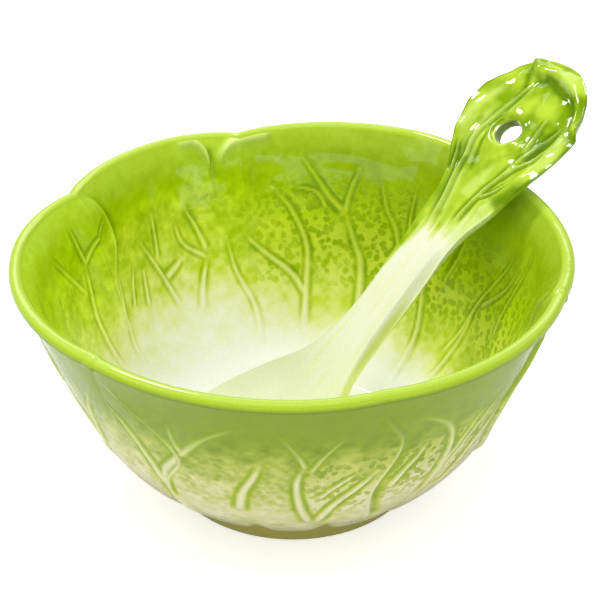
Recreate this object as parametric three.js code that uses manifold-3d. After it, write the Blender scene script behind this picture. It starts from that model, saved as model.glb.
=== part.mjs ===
// A glazed ceramic bowl shaped as six overlapping cabbage leaves, and its leaf spoon.
// The bowl is one casting with its foot ring. The spoon is a second casting: a scoop,
// a stalk and a leaf-shaped handle with a hanging hole. It leans in the bowl, its scoop
// on the floor and the underside of its handle on the lip, and it lifts straight out.
// Millimetres, +Z up. The origin is on the table, under the middle of the whole set.

import * as THREE from 'three';
import { mergeVertices } from 'three/addons/utils/BufferGeometryUtils.js';
import Module from 'manifold-3d';

const wasm = await Module();
wasm.setup();

// Bowl
const RIM_RADIUS = 77.5;
const RIM_HEIGHT = 75;
const WALL = 3.6;
const LIP_THICKNESS = 3.8;
const LIP_OVERHANG = 2.4;
const FOOT_RADIUS = 35.5;
const FOOT_WIDTH = 3.4;
const FOOT_HEIGHT = 4.2;
const FOOT_RECESS = 2;
const BASE_THICKNESS = 4.5;
const LEAF_FADE_HEIGHT = 8;

// How far out and up the wall has come, as shares of its way from the foot to the lip
const WALL_SHAPE = [
  [0.184, 0.072], [0.28, 0.119], [0.419, 0.206], [0.588, 0.355], [0.715, 0.534], [0.861, 0.758],
];

// Each leaf runs from its joint to the next one. Azimuths in degrees from +X, and how
// far the lip stands out from the mean rim at the joint and at the leaf's crest.
const LEAVES = [
  { joint: -17, jointOffset: -0.4, crest: 3, crestOffset: 0.4 },
  { joint: 41, jointOffset: -0.6, crest: 63, crestOffset: 3.9 },
  { joint: 104, jointOffset: -5, crest: 123, crestOffset: -0.1 },
  { joint: 154, jointOffset: -5, crest: 178, crestOffset: 0.4 },
  { joint: 226, jointOffset: -0.2, crest: 268, crestOffset: 0.7 },
  { joint: 288, jointOffset: -0.4, crest: 312, crestOffset: 0.6 },
];
const CREST_FULLNESS = 0.72;

// The lip is a bead. Its section turns from low on the outside, over the top, to the inside,
// in degrees, and the inner wall starts this many lip thicknesses below the top.
const LIP_ARC = [-36, 150];
const LIP_BLEND = 1.5;

// Spoon
const SCOOP_LENGTH = 60;
const STALK_LENGTH = 52;
const HANDLE_LENGTH = 55;
const SCOOP_WIDTH = 44;
const STALK_WIDTH = 15.5;
const HANDLE_WIDTH = 36.5;
const SCOOP_DEPTH = 9;
const SCOOP_THICKNESS = 3.4;
const STALK_THICKNESS = 6.8;
const HANDLE_THICKNESS = 6.4;
const STALK_CHANNEL = 0.9;
const HANDLE_RIPPLE = 0.7;
const HOLE_DIAMETER = 8.4;
const HOLE_FROM_HANDLE_END = 26.6;
const HOLE_OFFSET = 1;

// How much flatter than the stalk the spoon lies at the scoop's tip and the handle's end
const SCOOP_BEND = 36;
const HANDLE_BEND = 9;
const END_ROUNDING = 9;

// The spoon's place in the bowl
const SPOON_AZIMUTH = 36;
const SCOOP_REACH = 39;
const REST_GAP = 0.35;

// Powers that round the spoon's underside to its edges: leaf and scoop, then stalk
const FLAT_EDGE = 8;
const ROUND_EDGE = 2.6;

// Fineness of the surfaces
const RIM_SEGMENTS = 96;
const WALL_STEPS = 13;
const LIP_STEPS = 7;
const SPOON_STEP = 3.2;
const END_STEPS = 4;
const SECTION_STEPS = 10;
const HOLE_SIDES = 24;

// How finely the spoon's resting place is found
const SAMPLES_PER_STEP = 4;
const LEAN_RANGE = [15, 75];
const LEAN_HALVINGS = 40;

const TAU = 2 * Math.PI;
const radians = THREE.MathUtils.degToRad;
const { lerp, smoothstep } = THREE.MathUtils;

function smoothCurve(points) {
  const nodes = points.map(([a, b]) => new THREE.Vector3(a, b, 0));
  return new THREE.CatmullRomCurve3(nodes, false, 'centripetal');
}

// A value that changes smoothly along a list of [place, value] pairs
function profileAt(table, place) {
  const last = table.length - 1;
  if (place <= table[0][0]) return table[0][1];
  if (place >= table[last][0]) return table[last][1];
  const i = table.findIndex(([at]) => at > place) - 1;
  const slope = (j) => {
    const a = table[Math.max(j - 1, 0)];
    const b = table[Math.min(j + 1, last)];
    return (b[1] - a[1]) / (b[0] - a[0]);
  };
  const [x0, y0] = table[i];
  const [x1, y1] = table[i + 1];
  const span = x1 - x0;
  const t = (place - x0) / span;
  const t2 = t * t;
  const t3 = t2 * t;
  return (2 * t3 - 3 * t2 + 1) * y0 + (t3 - 2 * t2 + t) * span * slope(i)
    + (3 * t2 - 2 * t3) * y1 + (t3 - t2) * span * slope(i + 1);
}

// ---- Bowl ----------------------------------------------------------------

// How far the lip stands out from the mean rim at an azimuth in degrees
function rimOffset(azimuth) {
  const first = LEAVES[0].joint;
  const place = first + THREE.MathUtils.euclideanModulo(azimuth - first, 360);
  const index = LEAVES.findLastIndex((leaf) => leaf.joint <= place);
  const leaf = LEAVES[index];
  const next = LEAVES[(index + 1) % LEAVES.length];
  const end = index === LEAVES.length - 1 ? next.joint + 360 : next.joint;
  const share = (place - leaf.joint) / (end - leaf.joint);
  const crestShare = (leaf.crest - leaf.joint) / (end - leaf.joint);
  const towardsCrest = share < crestShare ? share / crestShare : (1 - share) / (1 - crestShare);
  const swell = Math.sin(towardsCrest * Math.PI / 2) ** CREST_FULLNESS;
  const chord = lerp(leaf.jointOffset, next.jointOffset, share);
  const chordAtCrest = lerp(leaf.jointOffset, next.jointOffset, crestShare);
  return chord + (leaf.crestOffset - chordAtCrest) * swell;
}

function withLeaves(radius, height, azimuth) {
  return radius + rimOffset(azimuth) * smoothstep(height, LEAF_FADE_HEIGHT, RIM_HEIGHT);
}

const FLOOR_HEIGHT = FOOT_RECESS + BASE_THICKNESS;
const LIP_RADIUS = LIP_THICKNESS / 2;
const LIP_CENTRE = [RIM_RADIUS - LIP_RADIUS, RIM_HEIGHT - LIP_RADIUS];
const wallTop = [RIM_RADIUS - LIP_OVERHANG, RIM_HEIGHT - LIP_THICKNESS];

// Mean outer wall, from the top of the foot to the underside of the lip
const outerCurve = smoothCurve([
  [FOOT_RADIUS, FOOT_HEIGHT],
  ...WALL_SHAPE.map(([out, up]) => [
    lerp(FOOT_RADIUS, wallTop[0], out),
    lerp(FOOT_HEIGHT, wallTop[1], up),
  ]),
  wallTop,
]);

// The inner wall runs parallel to the outer one, from where it leaves the rolled lip to
// where it rounds into the flat floor
function innerWallPoints() {
  const points = [];
  for (let i = 0; i <= WALL_STEPS; i += 1) {
    const share = 1 - i / WALL_STEPS;
    const p = outerCurve.getPointAt(share);
    const along = outerCurve.getTangentAt(share);
    const height = p.y + along.x * WALL;
    const belowLip = height < RIM_HEIGHT - LIP_BLEND * LIP_THICKNESS;
    const aboveFloor = height > FLOOR_HEIGHT + WALL / 2;
    if (belowLip && aboveFloor) points.push([p.x - along.y * WALL, height]);
  }
  return points;
}

const innerWall = innerWallPoints();
const floorEdge = innerWall[innerWall.length - 1][0];

// Half sections as [radius, height]: under the foot, up the outside, over the lip, inside
const footSection = [
  [FOOT_RADIUS - FOOT_WIDTH - 1, FOOT_RECESS],
  [FOOT_RADIUS - FOOT_WIDTH, 0],
  [FOOT_RADIUS, 0],
];
const outerSection = outerCurve.getSpacedPoints(WALL_STEPS).map((p) => [p.x, p.y]);
const lipSection = Array.from({ length: LIP_STEPS }, (_, i) => {
  const angle = radians(lerp(...LIP_ARC, i / (LIP_STEPS - 1)));
  return [
    LIP_CENTRE[0] + LIP_RADIUS * Math.cos(angle),
    LIP_CENTRE[1] + LIP_RADIUS * Math.sin(angle),
  ];
});
const floorSection = [
  [floorEdge * 0.86, FLOOR_HEIGHT + 1],
  [floorEdge * 0.6, FLOOR_HEIGHT + 0.25],
  [floorEdge * 0.3, FLOOR_HEIGHT],
];
const innerSection = [...innerWall, ...floorSection];

// A closed body from rings of points. The first and last rings close to their middle.
function loft(rings, startPoint, endPoint) {
  const count = rings[0].length;
  const positions = rings.flat().flatMap((p) => [p.x, p.y, p.z]);
  const start = rings.length * count;
  const end = start + 1;
  positions.push(startPoint.x, startPoint.y, startPoint.z, endPoint.x, endPoint.y, endPoint.z);
  const faces = [];
  for (let i = 0; i < count; i += 1) {
    const j = (i + 1) % count;
    for (let ring = 0; ring < rings.length - 1; ring += 1) {
      const a = ring * count;
      const b = a + count;
      faces.push(a + i, a + j, b + j, a + i, b + j, b + i);
    }
    const last = (rings.length - 1) * count;
    faces.push(start, j, i, end, last + i, last + j);
  }
  const geometry = new THREE.BufferGeometry();
  geometry.setAttribute('position', new THREE.Float32BufferAttribute(positions, 3));
  geometry.setIndex(faces);
  geometry.computeVertexNormals();
  return geometry;
}

function bowlGeometry() {
  const section = [...footSection, ...outerSection, ...lipSection, ...innerSection];
  const rings = section.map(([radius, height]) => (
    Array.from({ length: RIM_SEGMENTS }, (_, i) => {
      const angle = i / RIM_SEGMENTS * TAU;
      const r = withLeaves(radius, height, THREE.MathUtils.radToDeg(angle));
      return new THREE.Vector3(r * Math.cos(angle), r * Math.sin(angle), height);
    })
  ));
  const under = new THREE.Vector3(0, 0, FOOT_RECESS);
  const floor = new THREE.Vector3(0, 0, FLOOR_HEIGHT);
  return loft(rings, under, floor);
}

// Height of the bowl's open side, floor to lip, at a point in plan
const restingSection = [
  [0, FLOOR_HEIGHT],
  ...[...innerSection].reverse(),
  ...[...lipSection].reverse(),
];

function restingHeight(x, y) {
  const azimuth = THREE.MathUtils.radToDeg(Math.atan2(y, x));
  const offset = rimOffset(azimuth);
  const radius = Math.hypot(x, y);
  const reach = ([r, z]) => r + offset * smoothstep(z, LEAF_FADE_HEIGHT, RIM_HEIGHT);
  for (let i = 1; i < restingSection.length; i += 1) {
    const r0 = reach(restingSection[i - 1]);
    const r1 = reach(restingSection[i]);
    if (radius >= r0 && radius <= r1) {
      const share = (radius - r0) / (r1 - r0);
      return lerp(restingSection[i - 1][1], restingSection[i][1], share);
    }
  }
  return -Infinity;
}

// ---- Spoon ---------------------------------------------------------------

const SPOON_LENGTH = SCOOP_LENGTH + STALK_LENGTH + HANDLE_LENGTH;
const HANDLE_START = SCOOP_LENGTH + STALK_LENGTH;

// Half width, dish, thickness and tilt along the spoon, from the scoop's tip
const halfWidthTable = [
  [0, 0.34 * SCOOP_WIDTH],
  [0.22 * SCOOP_LENGTH, 0.46 * SCOOP_WIDTH],
  [0.45 * SCOOP_LENGTH, 0.5 * SCOOP_WIDTH],
  [0.7 * SCOOP_LENGTH, 0.4 * SCOOP_WIDTH],
  [0.9 * SCOOP_LENGTH, 0.25 * SCOOP_WIDTH],
  [SCOOP_LENGTH + 0.12 * STALK_LENGTH, 0.54 * STALK_WIDTH],
  [SCOOP_LENGTH + 0.5 * STALK_LENGTH, 0.5 * STALK_WIDTH],
  [HANDLE_START, 0.62 * STALK_WIDTH],
  [HANDLE_START + 0.25 * HANDLE_LENGTH, 0.4 * HANDLE_WIDTH],
  [HANDLE_START + 0.5 * HANDLE_LENGTH, 0.49 * HANDLE_WIDTH],
  [HANDLE_START + 0.72 * HANDLE_LENGTH, 0.5 * HANDLE_WIDTH],
  [HANDLE_START + 0.88 * HANDLE_LENGTH, 0.43 * HANDLE_WIDTH],
  [SPOON_LENGTH, 0.3 * HANDLE_WIDTH],
];
const dishTable = [
  [0, 0.25 * SCOOP_DEPTH],
  [0.15 * SCOOP_LENGTH, 0.75 * SCOOP_DEPTH],
  [0.4 * SCOOP_LENGTH, SCOOP_DEPTH],
  [0.7 * SCOOP_LENGTH, 0.75 * SCOOP_DEPTH],
  [SCOOP_LENGTH, 0.25 * SCOOP_DEPTH],
  [SCOOP_LENGTH + 0.3 * STALK_LENGTH, STALK_CHANNEL],
  [SPOON_LENGTH, STALK_CHANNEL],
];
const thicknessTable = [
  [0, 0.7 * SCOOP_THICKNESS],
  [0.5 * SCOOP_LENGTH, SCOOP_THICKNESS],
  [SCOOP_LENGTH, 0.8 * STALK_THICKNESS],
  [SCOOP_LENGTH + 0.4 * STALK_LENGTH, STALK_THICKNESS],
  [HANDLE_START, STALK_THICKNESS],
  [HANDLE_START + 0.3 * HANDLE_LENGTH, HANDLE_THICKNESS],
  [SPOON_LENGTH, 0.7 * HANDLE_THICKNESS],
];
const tiltTable = [
  [0, -SCOOP_BEND],
  [0.5 * SCOOP_LENGTH, -0.7 * SCOOP_BEND],
  [SCOOP_LENGTH, -0.3 * SCOOP_BEND],
  [SCOOP_LENGTH + 0.4 * STALK_LENGTH, 0],
  [HANDLE_START, 0],
  [HANDLE_START + 0.6 * HANDLE_LENGTH, -0.7 * HANDLE_BEND],
  [SPOON_LENGTH, -HANDLE_BEND],
];

// Places for the spoon's sections: even along it, and closing up towards its round ends
function sectionPlaces() {
  const ends = Array.from({ length: END_STEPS }, (_, i) => (
    END_ROUNDING * (1 - Math.cos((i + 0.4) / END_STEPS * Math.PI / 2))
  ));
  const span = SPOON_LENGTH - 2 * END_ROUNDING;
  const steps = Math.round(span / SPOON_STEP);
  const even = Array.from({ length: steps + 1 }, (_, i) => END_ROUNDING + i / steps * span);
  return [...ends, ...even, ...ends.map((at) => SPOON_LENGTH - at).reverse()];
}

// The line along the middle of the spoon, level with its edges: stalk along +X
function spineStations(places) {
  const tiltAt = (at) => radians(profileAt(tiltTable, at));
  let x = 0;
  let z = 0;
  let from = places[0];
  return places.map((at) => {
    const tiltBetween = tiltAt((from + at) / 2);
    x += Math.cos(tiltBetween) * (at - from);
    z += Math.sin(tiltBetween) * (at - from);
    from = at;
    return { at, x, z, tilt: tiltAt(at) };
  });
}

const spine = spineStations(sectionPlaces());

// 1 along the spoon, falling in a quarter circle to 0 at each end
function endRoundness(at) {
  const fromEnd = Math.min(at, SPOON_LENGTH - at, END_ROUNDING);
  return Math.sqrt(1 - (1 - fromEnd / END_ROUNDING) ** 2);
}

// Heights of the top and the underside at a share across, from -1 at one edge to 1
function topHeight(at, across) {
  const dish = profileAt(dishTable, at) * (1 - across * across);
  const leafy = smoothstep(at, HANDLE_START, HANDLE_START + 0.3 * HANDLE_LENGTH);
  const ripple = HANDLE_RIPPLE * leafy * Math.cos(across * Math.PI * 3);
  return (ripple - dish) * endRoundness(at);
}

function undersideHeight(at, across) {
  const roundness = smoothstep(at, 0.5 * SCOOP_LENGTH, SCOOP_LENGTH)
    * (1 - smoothstep(at, HANDLE_START, HANDLE_START + 0.4 * HANDLE_LENGTH));
  const edge = lerp(FLAT_EDGE, ROUND_EDGE, roundness);
  const full = Math.sqrt(1 - Math.abs(across) ** edge);
  return topHeight(at, across) - profileAt(thicknessTable, at) * full * endRoundness(at);
}

// Point of the spoon in its own frame, from a station, a share across and a height
function spoonPoint(station, across, height) {
  const lateral = across * profileAt(halfWidthTable, station.at) * endRoundness(station.at);
  return new THREE.Vector3(
    station.x - Math.sin(station.tilt) * height,
    lateral,
    station.z + Math.cos(station.tilt) * height,
  );
}

function spoonRing(station) {
  const ring = [];
  for (let i = 0; i < 2 * SECTION_STEPS; i += 1) {
    const angle = i / (2 * SECTION_STEPS) * TAU;
    const across = Math.cos(angle);
    const height = Math.sin(angle) >= 0
      ? topHeight(station.at, across)
      : undersideHeight(station.at, across);
    ring.push(spoonPoint(station, across, height));
  }
  return ring;
}

function middleOf(ring) {
  return ring.reduce((sum, p) => sum.add(p), new THREE.Vector3()).divideScalar(ring.length);
}

function solidFrom(geometry) {
  const bare = new THREE.BufferGeometry();
  bare.setAttribute('position', geometry.getAttribute('position').clone());
  if (geometry.index) bare.setIndex(geometry.index.clone());
  const welded = mergeVertices(bare, 1e-4);
  const mesh = new wasm.Mesh({
    numProp: 3,
    vertProperties: new Float32Array(welded.getAttribute('position').array),
    triVerts: new Uint32Array(welded.index.array),
  });
  return new wasm.Manifold(mesh);
}

function geometryFrom(solid) {
  const { vertProperties, triVerts } = solid.getMesh();
  const geometry = new THREE.BufferGeometry();
  geometry.setAttribute('position', new THREE.Float32BufferAttribute(vertProperties, 3));
  geometry.setIndex([...triVerts]);
  geometry.computeVertexNormals();
  return geometry;
}

function hangingHole() {
  const at = SPOON_LENGTH - HOLE_FROM_HANDLE_END;
  const distance = (station) => Math.abs(station.at - at);
  const station = spine.reduce((best, other) => (distance(other) < distance(best) ? other : best));
  const radius = HOLE_DIAMETER / 2;
  const depth = 6 * HANDLE_THICKNESS;
  const drill = new THREE.CylinderGeometry(radius, radius, depth, HOLE_SIDES);
  drill.rotateX(Math.PI / 2);
  drill.rotateY(-station.tilt);
  drill.translate(station.x, HOLE_OFFSET, station.z);
  return solidFrom(drill);
}

function spoonGeometry() {
  const rings = spine.map(spoonRing);
  const body = loft(rings, middleOf(rings[0]), middleOf(rings[rings.length - 1]));
  return geometryFrom(solidFrom(body).subtract(hangingHole()));
}

// ---- The spoon at rest in the bowl ---------------------------------------

// Underside points close enough together to find where the spoon touches
function undersideSamples() {
  const samples = [];
  for (let i = 0; i < spine.length - 1; i += 1) {
    for (let part = 0; part < SAMPLES_PER_STEP; part += 1) {
      const share = part / SAMPLES_PER_STEP;
      const station = {
        at: lerp(spine[i].at, spine[i + 1].at, share),
        x: lerp(spine[i].x, spine[i + 1].x, share),
        z: lerp(spine[i].z, spine[i + 1].z, share),
        tilt: lerp(spine[i].tilt, spine[i + 1].tilt, share),
      };
      for (let side = -SECTION_STEPS; side <= SECTION_STEPS; side += 1) {
        const across = side / SECTION_STEPS;
        const point = spoonPoint(station, across, undersideHeight(station.at, across));
        samples.push({ point, onHandle: station.at > SCOOP_LENGTH });
      }
    }
  }
  return samples;
}

const samples = undersideSamples();

function spoonPlacement(lean, lift) {
  return new THREE.Matrix4()
    .makeTranslation(0, 0, lift)
    .multiply(new THREE.Matrix4().makeRotationZ(radians(SPOON_AZIMUTH)))
    .multiply(new THREE.Matrix4().makeTranslation(-SCOOP_REACH, 0, 0))
    .multiply(new THREE.Matrix4().makeRotationY(-radians(lean)));
}

// How high the scoop and the handle must each be lifted to clear the bowl at a lean
function liftsAt(lean) {
  const placement = spoonPlacement(lean, 0);
  const lifts = { scoop: -Infinity, handle: -Infinity };
  const moved = new THREE.Vector3();
  for (const { point, onHandle } of samples) {
    moved.copy(point).applyMatrix4(placement);
    const needed = restingHeight(moved.x, moved.y) + REST_GAP - moved.z;
    const end = onHandle ? 'handle' : 'scoop';
    lifts[end] = Math.max(lifts[end], needed);
  }
  return lifts;
}

// The lean at which the scoop and the handle touch together
function restingPlacement() {
  let [low, high] = LEAN_RANGE;
  for (let i = 0; i < LEAN_HALVINGS; i += 1) {
    const lean = (low + high) / 2;
    const lifts = liftsAt(lean);
    if (lifts.scoop < lifts.handle) low = lean;
    else high = lean;
  }
  const lean = (low + high) / 2;
  const lifts = liftsAt(lean);
  return spoonPlacement(lean, Math.max(lifts.scoop, lifts.handle));
}

// ---- The set -------------------------------------------------------------

const leafGlaze = new THREE.MeshStandardMaterial({
  color: new THREE.Color(0.6, 0.78, 0.12),
  roughness: 0.12,
  metalness: 0,
});
const stalkGlaze = new THREE.MeshStandardMaterial({
  color: new THREE.Color(0.82, 0.88, 0.6),
  roughness: 0.12,
  metalness: 0,
});

const bowl = new THREE.Mesh(bowlGeometry(), leafGlaze);
bowl.name = 'bowl';

const spoon = new THREE.Mesh(spoonGeometry(), stalkGlaze);
spoon.name = 'spoon';
spoon.applyMatrix4(restingPlacement());

const leafBowlSet = new THREE.Group();
leafBowlSet.name = 'leaf_bowl_with_spoon';
leafBowlSet.add(bowl, spoon);

// Stand the set on the table with the middle of its box over the origin
const extent = new THREE.Box3().setFromObject(leafBowlSet, true);
const middle = extent.getCenter(new THREE.Vector3());
leafBowlSet.position.set(-middle.x, -middle.y, -extent.min.z);

export default leafBowlSet;
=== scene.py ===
"""The look of the leaf bowl and its leaf spoon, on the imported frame.

Sizes are in millimetres until the meshes are made, and then in metres. Places on the bowl are
an azimuth in degrees about its axis, from +X, and a height. Places on the spoon are a distance
from the scoop's tip and a distance across, positive on the side towards the bowl's back.
"""

import math

import bpy
import numpy as np
from mathutils import Matrix, Vector

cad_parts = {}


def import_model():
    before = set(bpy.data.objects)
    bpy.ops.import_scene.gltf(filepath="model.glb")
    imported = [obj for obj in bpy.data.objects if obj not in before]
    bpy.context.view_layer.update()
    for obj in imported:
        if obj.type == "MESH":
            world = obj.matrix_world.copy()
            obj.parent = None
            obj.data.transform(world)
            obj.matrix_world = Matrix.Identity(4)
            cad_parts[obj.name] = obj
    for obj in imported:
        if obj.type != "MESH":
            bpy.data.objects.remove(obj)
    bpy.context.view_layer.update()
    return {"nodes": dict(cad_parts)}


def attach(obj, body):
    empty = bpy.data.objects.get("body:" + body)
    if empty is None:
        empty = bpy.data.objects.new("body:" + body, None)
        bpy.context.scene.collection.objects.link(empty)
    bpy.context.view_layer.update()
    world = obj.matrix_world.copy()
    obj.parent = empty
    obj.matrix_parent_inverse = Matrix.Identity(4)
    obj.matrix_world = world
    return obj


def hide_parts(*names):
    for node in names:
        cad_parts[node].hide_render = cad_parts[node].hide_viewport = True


MM = 0.001
DEGREE = math.radians(1)

# Bowl, as in the CAD model
RIM_RADIUS = 77.5
RIM_HEIGHT = 75.0
WALL = 3.6
LIP_THICKNESS = 3.8
LIP_OVERHANG = 2.4
FOOT_RADIUS = 35.5
FOOT_WIDTH = 3.4
FOOT_HEIGHT = 4.2
FOOT_RECESS = 2.0
BASE_THICKNESS = 4.5
LEAF_FADE_HEIGHT = 8.0
CREST_FULLNESS = 0.72
LIP_ARC = (-36.0, 150.0)
LIP_BLEND = 1.5
WALL_SHAPE = (
    (0.184, 0.072), (0.28, 0.119), (0.419, 0.206), (0.588, 0.355), (0.715, 0.534), (0.861, 0.758),
)

# The floor inside, as (share of its radius, height over its middle)
FLOOR_SHAPE = ((0.86, 1), (0.6, 0.25), (0.3, 0))
# The half section stops this far from the axis, and one point closes the surface there
MIDDLE_HOLE = 0.5

# Leaves, as (azimuth of a joint, how far the lip stands out there, azimuth of the crest, and how
# far it stands out there)
LEAVES = (
    (-17, -0.4, 3, 0.4),
    (41, -0.6, 63, 3.9),
    (104, -5.0, 123, -0.1),
    (154, -5.0, 178, 0.4),
    (226, -0.2, 268, 0.7),
    (288, -0.4, 312, 0.6),
)

# Spoon, as in the CAD model
SCOOP_LENGTH = 60.0
STALK_LENGTH = 52.0
HANDLE_LENGTH = 55.0
SCOOP_WIDTH = 44.0
STALK_WIDTH = 15.5
HANDLE_WIDTH = 36.5
SCOOP_DEPTH = 9.0
SCOOP_THICKNESS = 3.4
STALK_THICKNESS = 6.8
HANDLE_THICKNESS = 6.4
STALK_CHANNEL = 0.9
HOLE_DIAMETER = 8.4
HOLE_FROM_HANDLE_END = 26.6
HOLE_OFFSET = 1.0
SCOOP_BEND = 36.0
HANDLE_BEND = 9.0
END_ROUNDING = 9.0
SPOON_AZIMUTH = 36.0
SCOOP_REACH = 39.0
SPOON_LEAN = 43.304
SPOON_LIFT = 15.385

SPOON_LENGTH = SCOOP_LENGTH + STALK_LENGTH + HANDLE_LENGTH
HANDLE_START = SCOOP_LENGTH + STALK_LENGTH
FLOOR_HEIGHT = FOOT_RECESS + BASE_THICKNESS

# Fineness of the surfaces
AZIMUTH_STEPS = 900
OUTER_STEPS = 150
LIP_STEPS = 18
INNER_STEPS = 165
INNER_THINNING = 12
SPOON_STEP = 0.6
SPOON_END_STEPS = 14
SPOON_FIRST_STEP = 0.4
SPOON_SECTION_STEPS = 96
SPINE_STEPS = 1200

# Random values along each edge of the cube that a cloud repeats
CLOUD_GRID = 32
# The darkest linear colour that a multiplying blend uses
GLAZE_FLOOR = 0.0015
# Too short to matter, and safe to divide by
TINY = 1e-9


# ---- Helpers ----


def smoothstep(value, low, high):
    share = np.clip((value - low) / (high - low), 0, 1)
    return share * share * (3 - 2 * share)


def band(value, rise, fall):
    """1 between the range where it rises and the range where it falls, and 0 beyond them."""
    return smoothstep(value, *rise) * (1 - smoothstep(value, *fall))


def lerp(a, b, share):
    return a + (b - a) * share


def smooth_curve(points, steps=24):
    """Points along a centripetal Catmull-Rom curve through the given ones."""
    p = np.array(points, float)
    p = np.vstack([2 * p[0] - p[1], p, 2 * p[-1] - p[-2]])
    found = []
    for i in range(1, len(p) - 2):
        q = p[i - 1:i + 3]
        gaps = np.sqrt(np.linalg.norm(np.diff(q, axis=0), axis=1))
        t = np.concatenate([[0], np.cumsum(gaps)])
        at = np.linspace(t[1], t[2], steps, endpoint=False)[:, None]
        a = [((t[k + 1] - at) * q[k] + (at - t[k]) * q[k + 1]) / (t[k + 1] - t[k]) for k in range(3)]
        b = [((t[k + 2] - at) * a[k] + (at - t[k]) * a[k + 1]) / (t[k + 2] - t[k]) for k in range(2)]
        found.append(((t[2] - at) * b[0] + (at - t[1]) * b[1]) / (t[2] - t[1]))
    return np.vstack([*found, p[-2:-1]])


def along_of(points):
    """Distance along a line of points, at each of them."""
    return np.concatenate([[0], np.cumsum(np.linalg.norm(np.diff(points, axis=0), axis=1))])


def evenly(points, steps):
    """The same line as this many even steps."""
    along = along_of(points)
    at = np.linspace(0, along[-1], steps + 1)
    return np.stack([np.interp(at, along, points[:, k]) for k in range(points.shape[1])], 1)


def profile(table, place):
    """A value that changes smoothly along a table of (place, value)."""
    x = np.array([row[0] for row in table], float)
    y = np.array([row[1] for row in table], float)
    low = np.maximum(np.arange(len(x)) - 1, 0)
    high = np.minimum(np.arange(len(x)) + 1, len(x) - 1)
    slope = (y[high] - y[low]) / (x[high] - x[low])
    place = np.clip(place, x[0], x[-1])
    i = np.clip(np.searchsorted(x, place, side="right") - 1, 0, len(x) - 2)
    span = x[i + 1] - x[i]
    t = (place - x[i]) / span
    t2 = t * t
    t3 = t2 * t
    return ((2 * t3 - 3 * t2 + 1) * y[i] + (t3 - 2 * t2 + t) * span * slope[i]
            + (3 * t2 - 2 * t3) * y[i + 1] + (t3 - t2) * span * slope[i + 1])


def around(table, azimuth):
    """As profile, for a table of (azimuth, value) that closes on itself."""
    wrapped = [(at - 360, value) for at, value in table] + list(table)
    wrapped += [(at + 360, value) for at, value in table]
    return profile(wrapped, np.mod(azimuth, 360))


def turn_from(start, azimuth):
    """The turn from one azimuth to another, between -180 and 180 degrees."""
    return np.mod(azimuth - start + 180, 360) - 180


def bell(distance, width):
    return np.exp(-(distance / width) ** 2)


def lopsided_bell(distance, below, above):
    """A bell with one width below its middle and another above it."""
    return bell(distance, np.where(distance < 0, below, above))


def srgb(red, green, blue):
    """Linear colour from 8-bit display values."""
    shown = np.array([red, green, blue], float) / 255
    return np.where(shown <= 0.04045, shown / 12.92, ((shown + 0.055) / 1.055) ** 2.4)


def mix(a, b, share):
    return a + (b - a) * np.asarray(share)[..., None]


def blend(a, b, share):
    """Like mix, but multiplying, as a coloured glaze does when it grows thicker."""
    a, b = np.maximum(a, GLAZE_FLOOR), np.maximum(b, GLAZE_FLOOR)
    return a * (b / a) ** np.asarray(share)[..., None]


def ramp(table, place):
    """Colours along a table of (place, (red, green, blue))."""
    at = [row[0] for row in table]
    colours = np.array([srgb(*row[1]) for row in table])
    return np.stack([np.interp(place, at, colours[:, k]) for k in range(3)], -1)


# ---- Bowl shape ----


def rim_offset(azimuth):
    """How far the lip stands out from the mean rim."""
    first = LEAVES[0][0]
    place = first + np.mod(azimuth - first, 360)
    offset = np.zeros_like(place)
    for i, (joint, at_joint, crest, at_crest) in enumerate(LEAVES):
        end, at_end = LEAVES[(i + 1) % len(LEAVES)][:2]
        if i == len(LEAVES) - 1:
            end += 360
        here = (place >= joint) & (place < end)
        share = (place[here] - joint) / (end - joint)
        crest_share = (crest - joint) / (end - joint)
        rising = share / crest_share
        falling = (1 - share) / (1 - crest_share)
        swell = np.sin(np.minimum(rising, falling) * math.pi / 2) ** CREST_FULLNESS
        chord_at_crest = lerp(at_joint, at_end, crest_share)
        offset[here] = lerp(at_joint, at_end, share) + (at_crest - chord_at_crest) * swell
    return offset


def wall_lines():
    """The outer wall from the foot up, and the inner wall from the lip down to the floor."""
    top = (RIM_RADIUS - LIP_OVERHANG, RIM_HEIGHT - LIP_THICKNESS)
    outer = smooth_curve([
        (FOOT_RADIUS, FOOT_HEIGHT),
        *[(lerp(FOOT_RADIUS, top[0], out), lerp(FOOT_HEIGHT, top[1], up)) for out, up in WALL_SHAPE],
        top,
    ])
    tangent = np.gradient(outer, axis=0)
    tangent /= np.linalg.norm(tangent, axis=1)[:, None]
    inner = (outer + WALL * np.stack([-tangent[:, 1], tangent[:, 0]], 1))[::-1]
    below_lip = inner[:, 1] < RIM_HEIGHT - LIP_BLEND * LIP_THICKNESS
    above_floor = inner[:, 1] > FLOOR_HEIGHT + WALL / 2
    return outer, inner[below_lip & above_floor]


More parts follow.
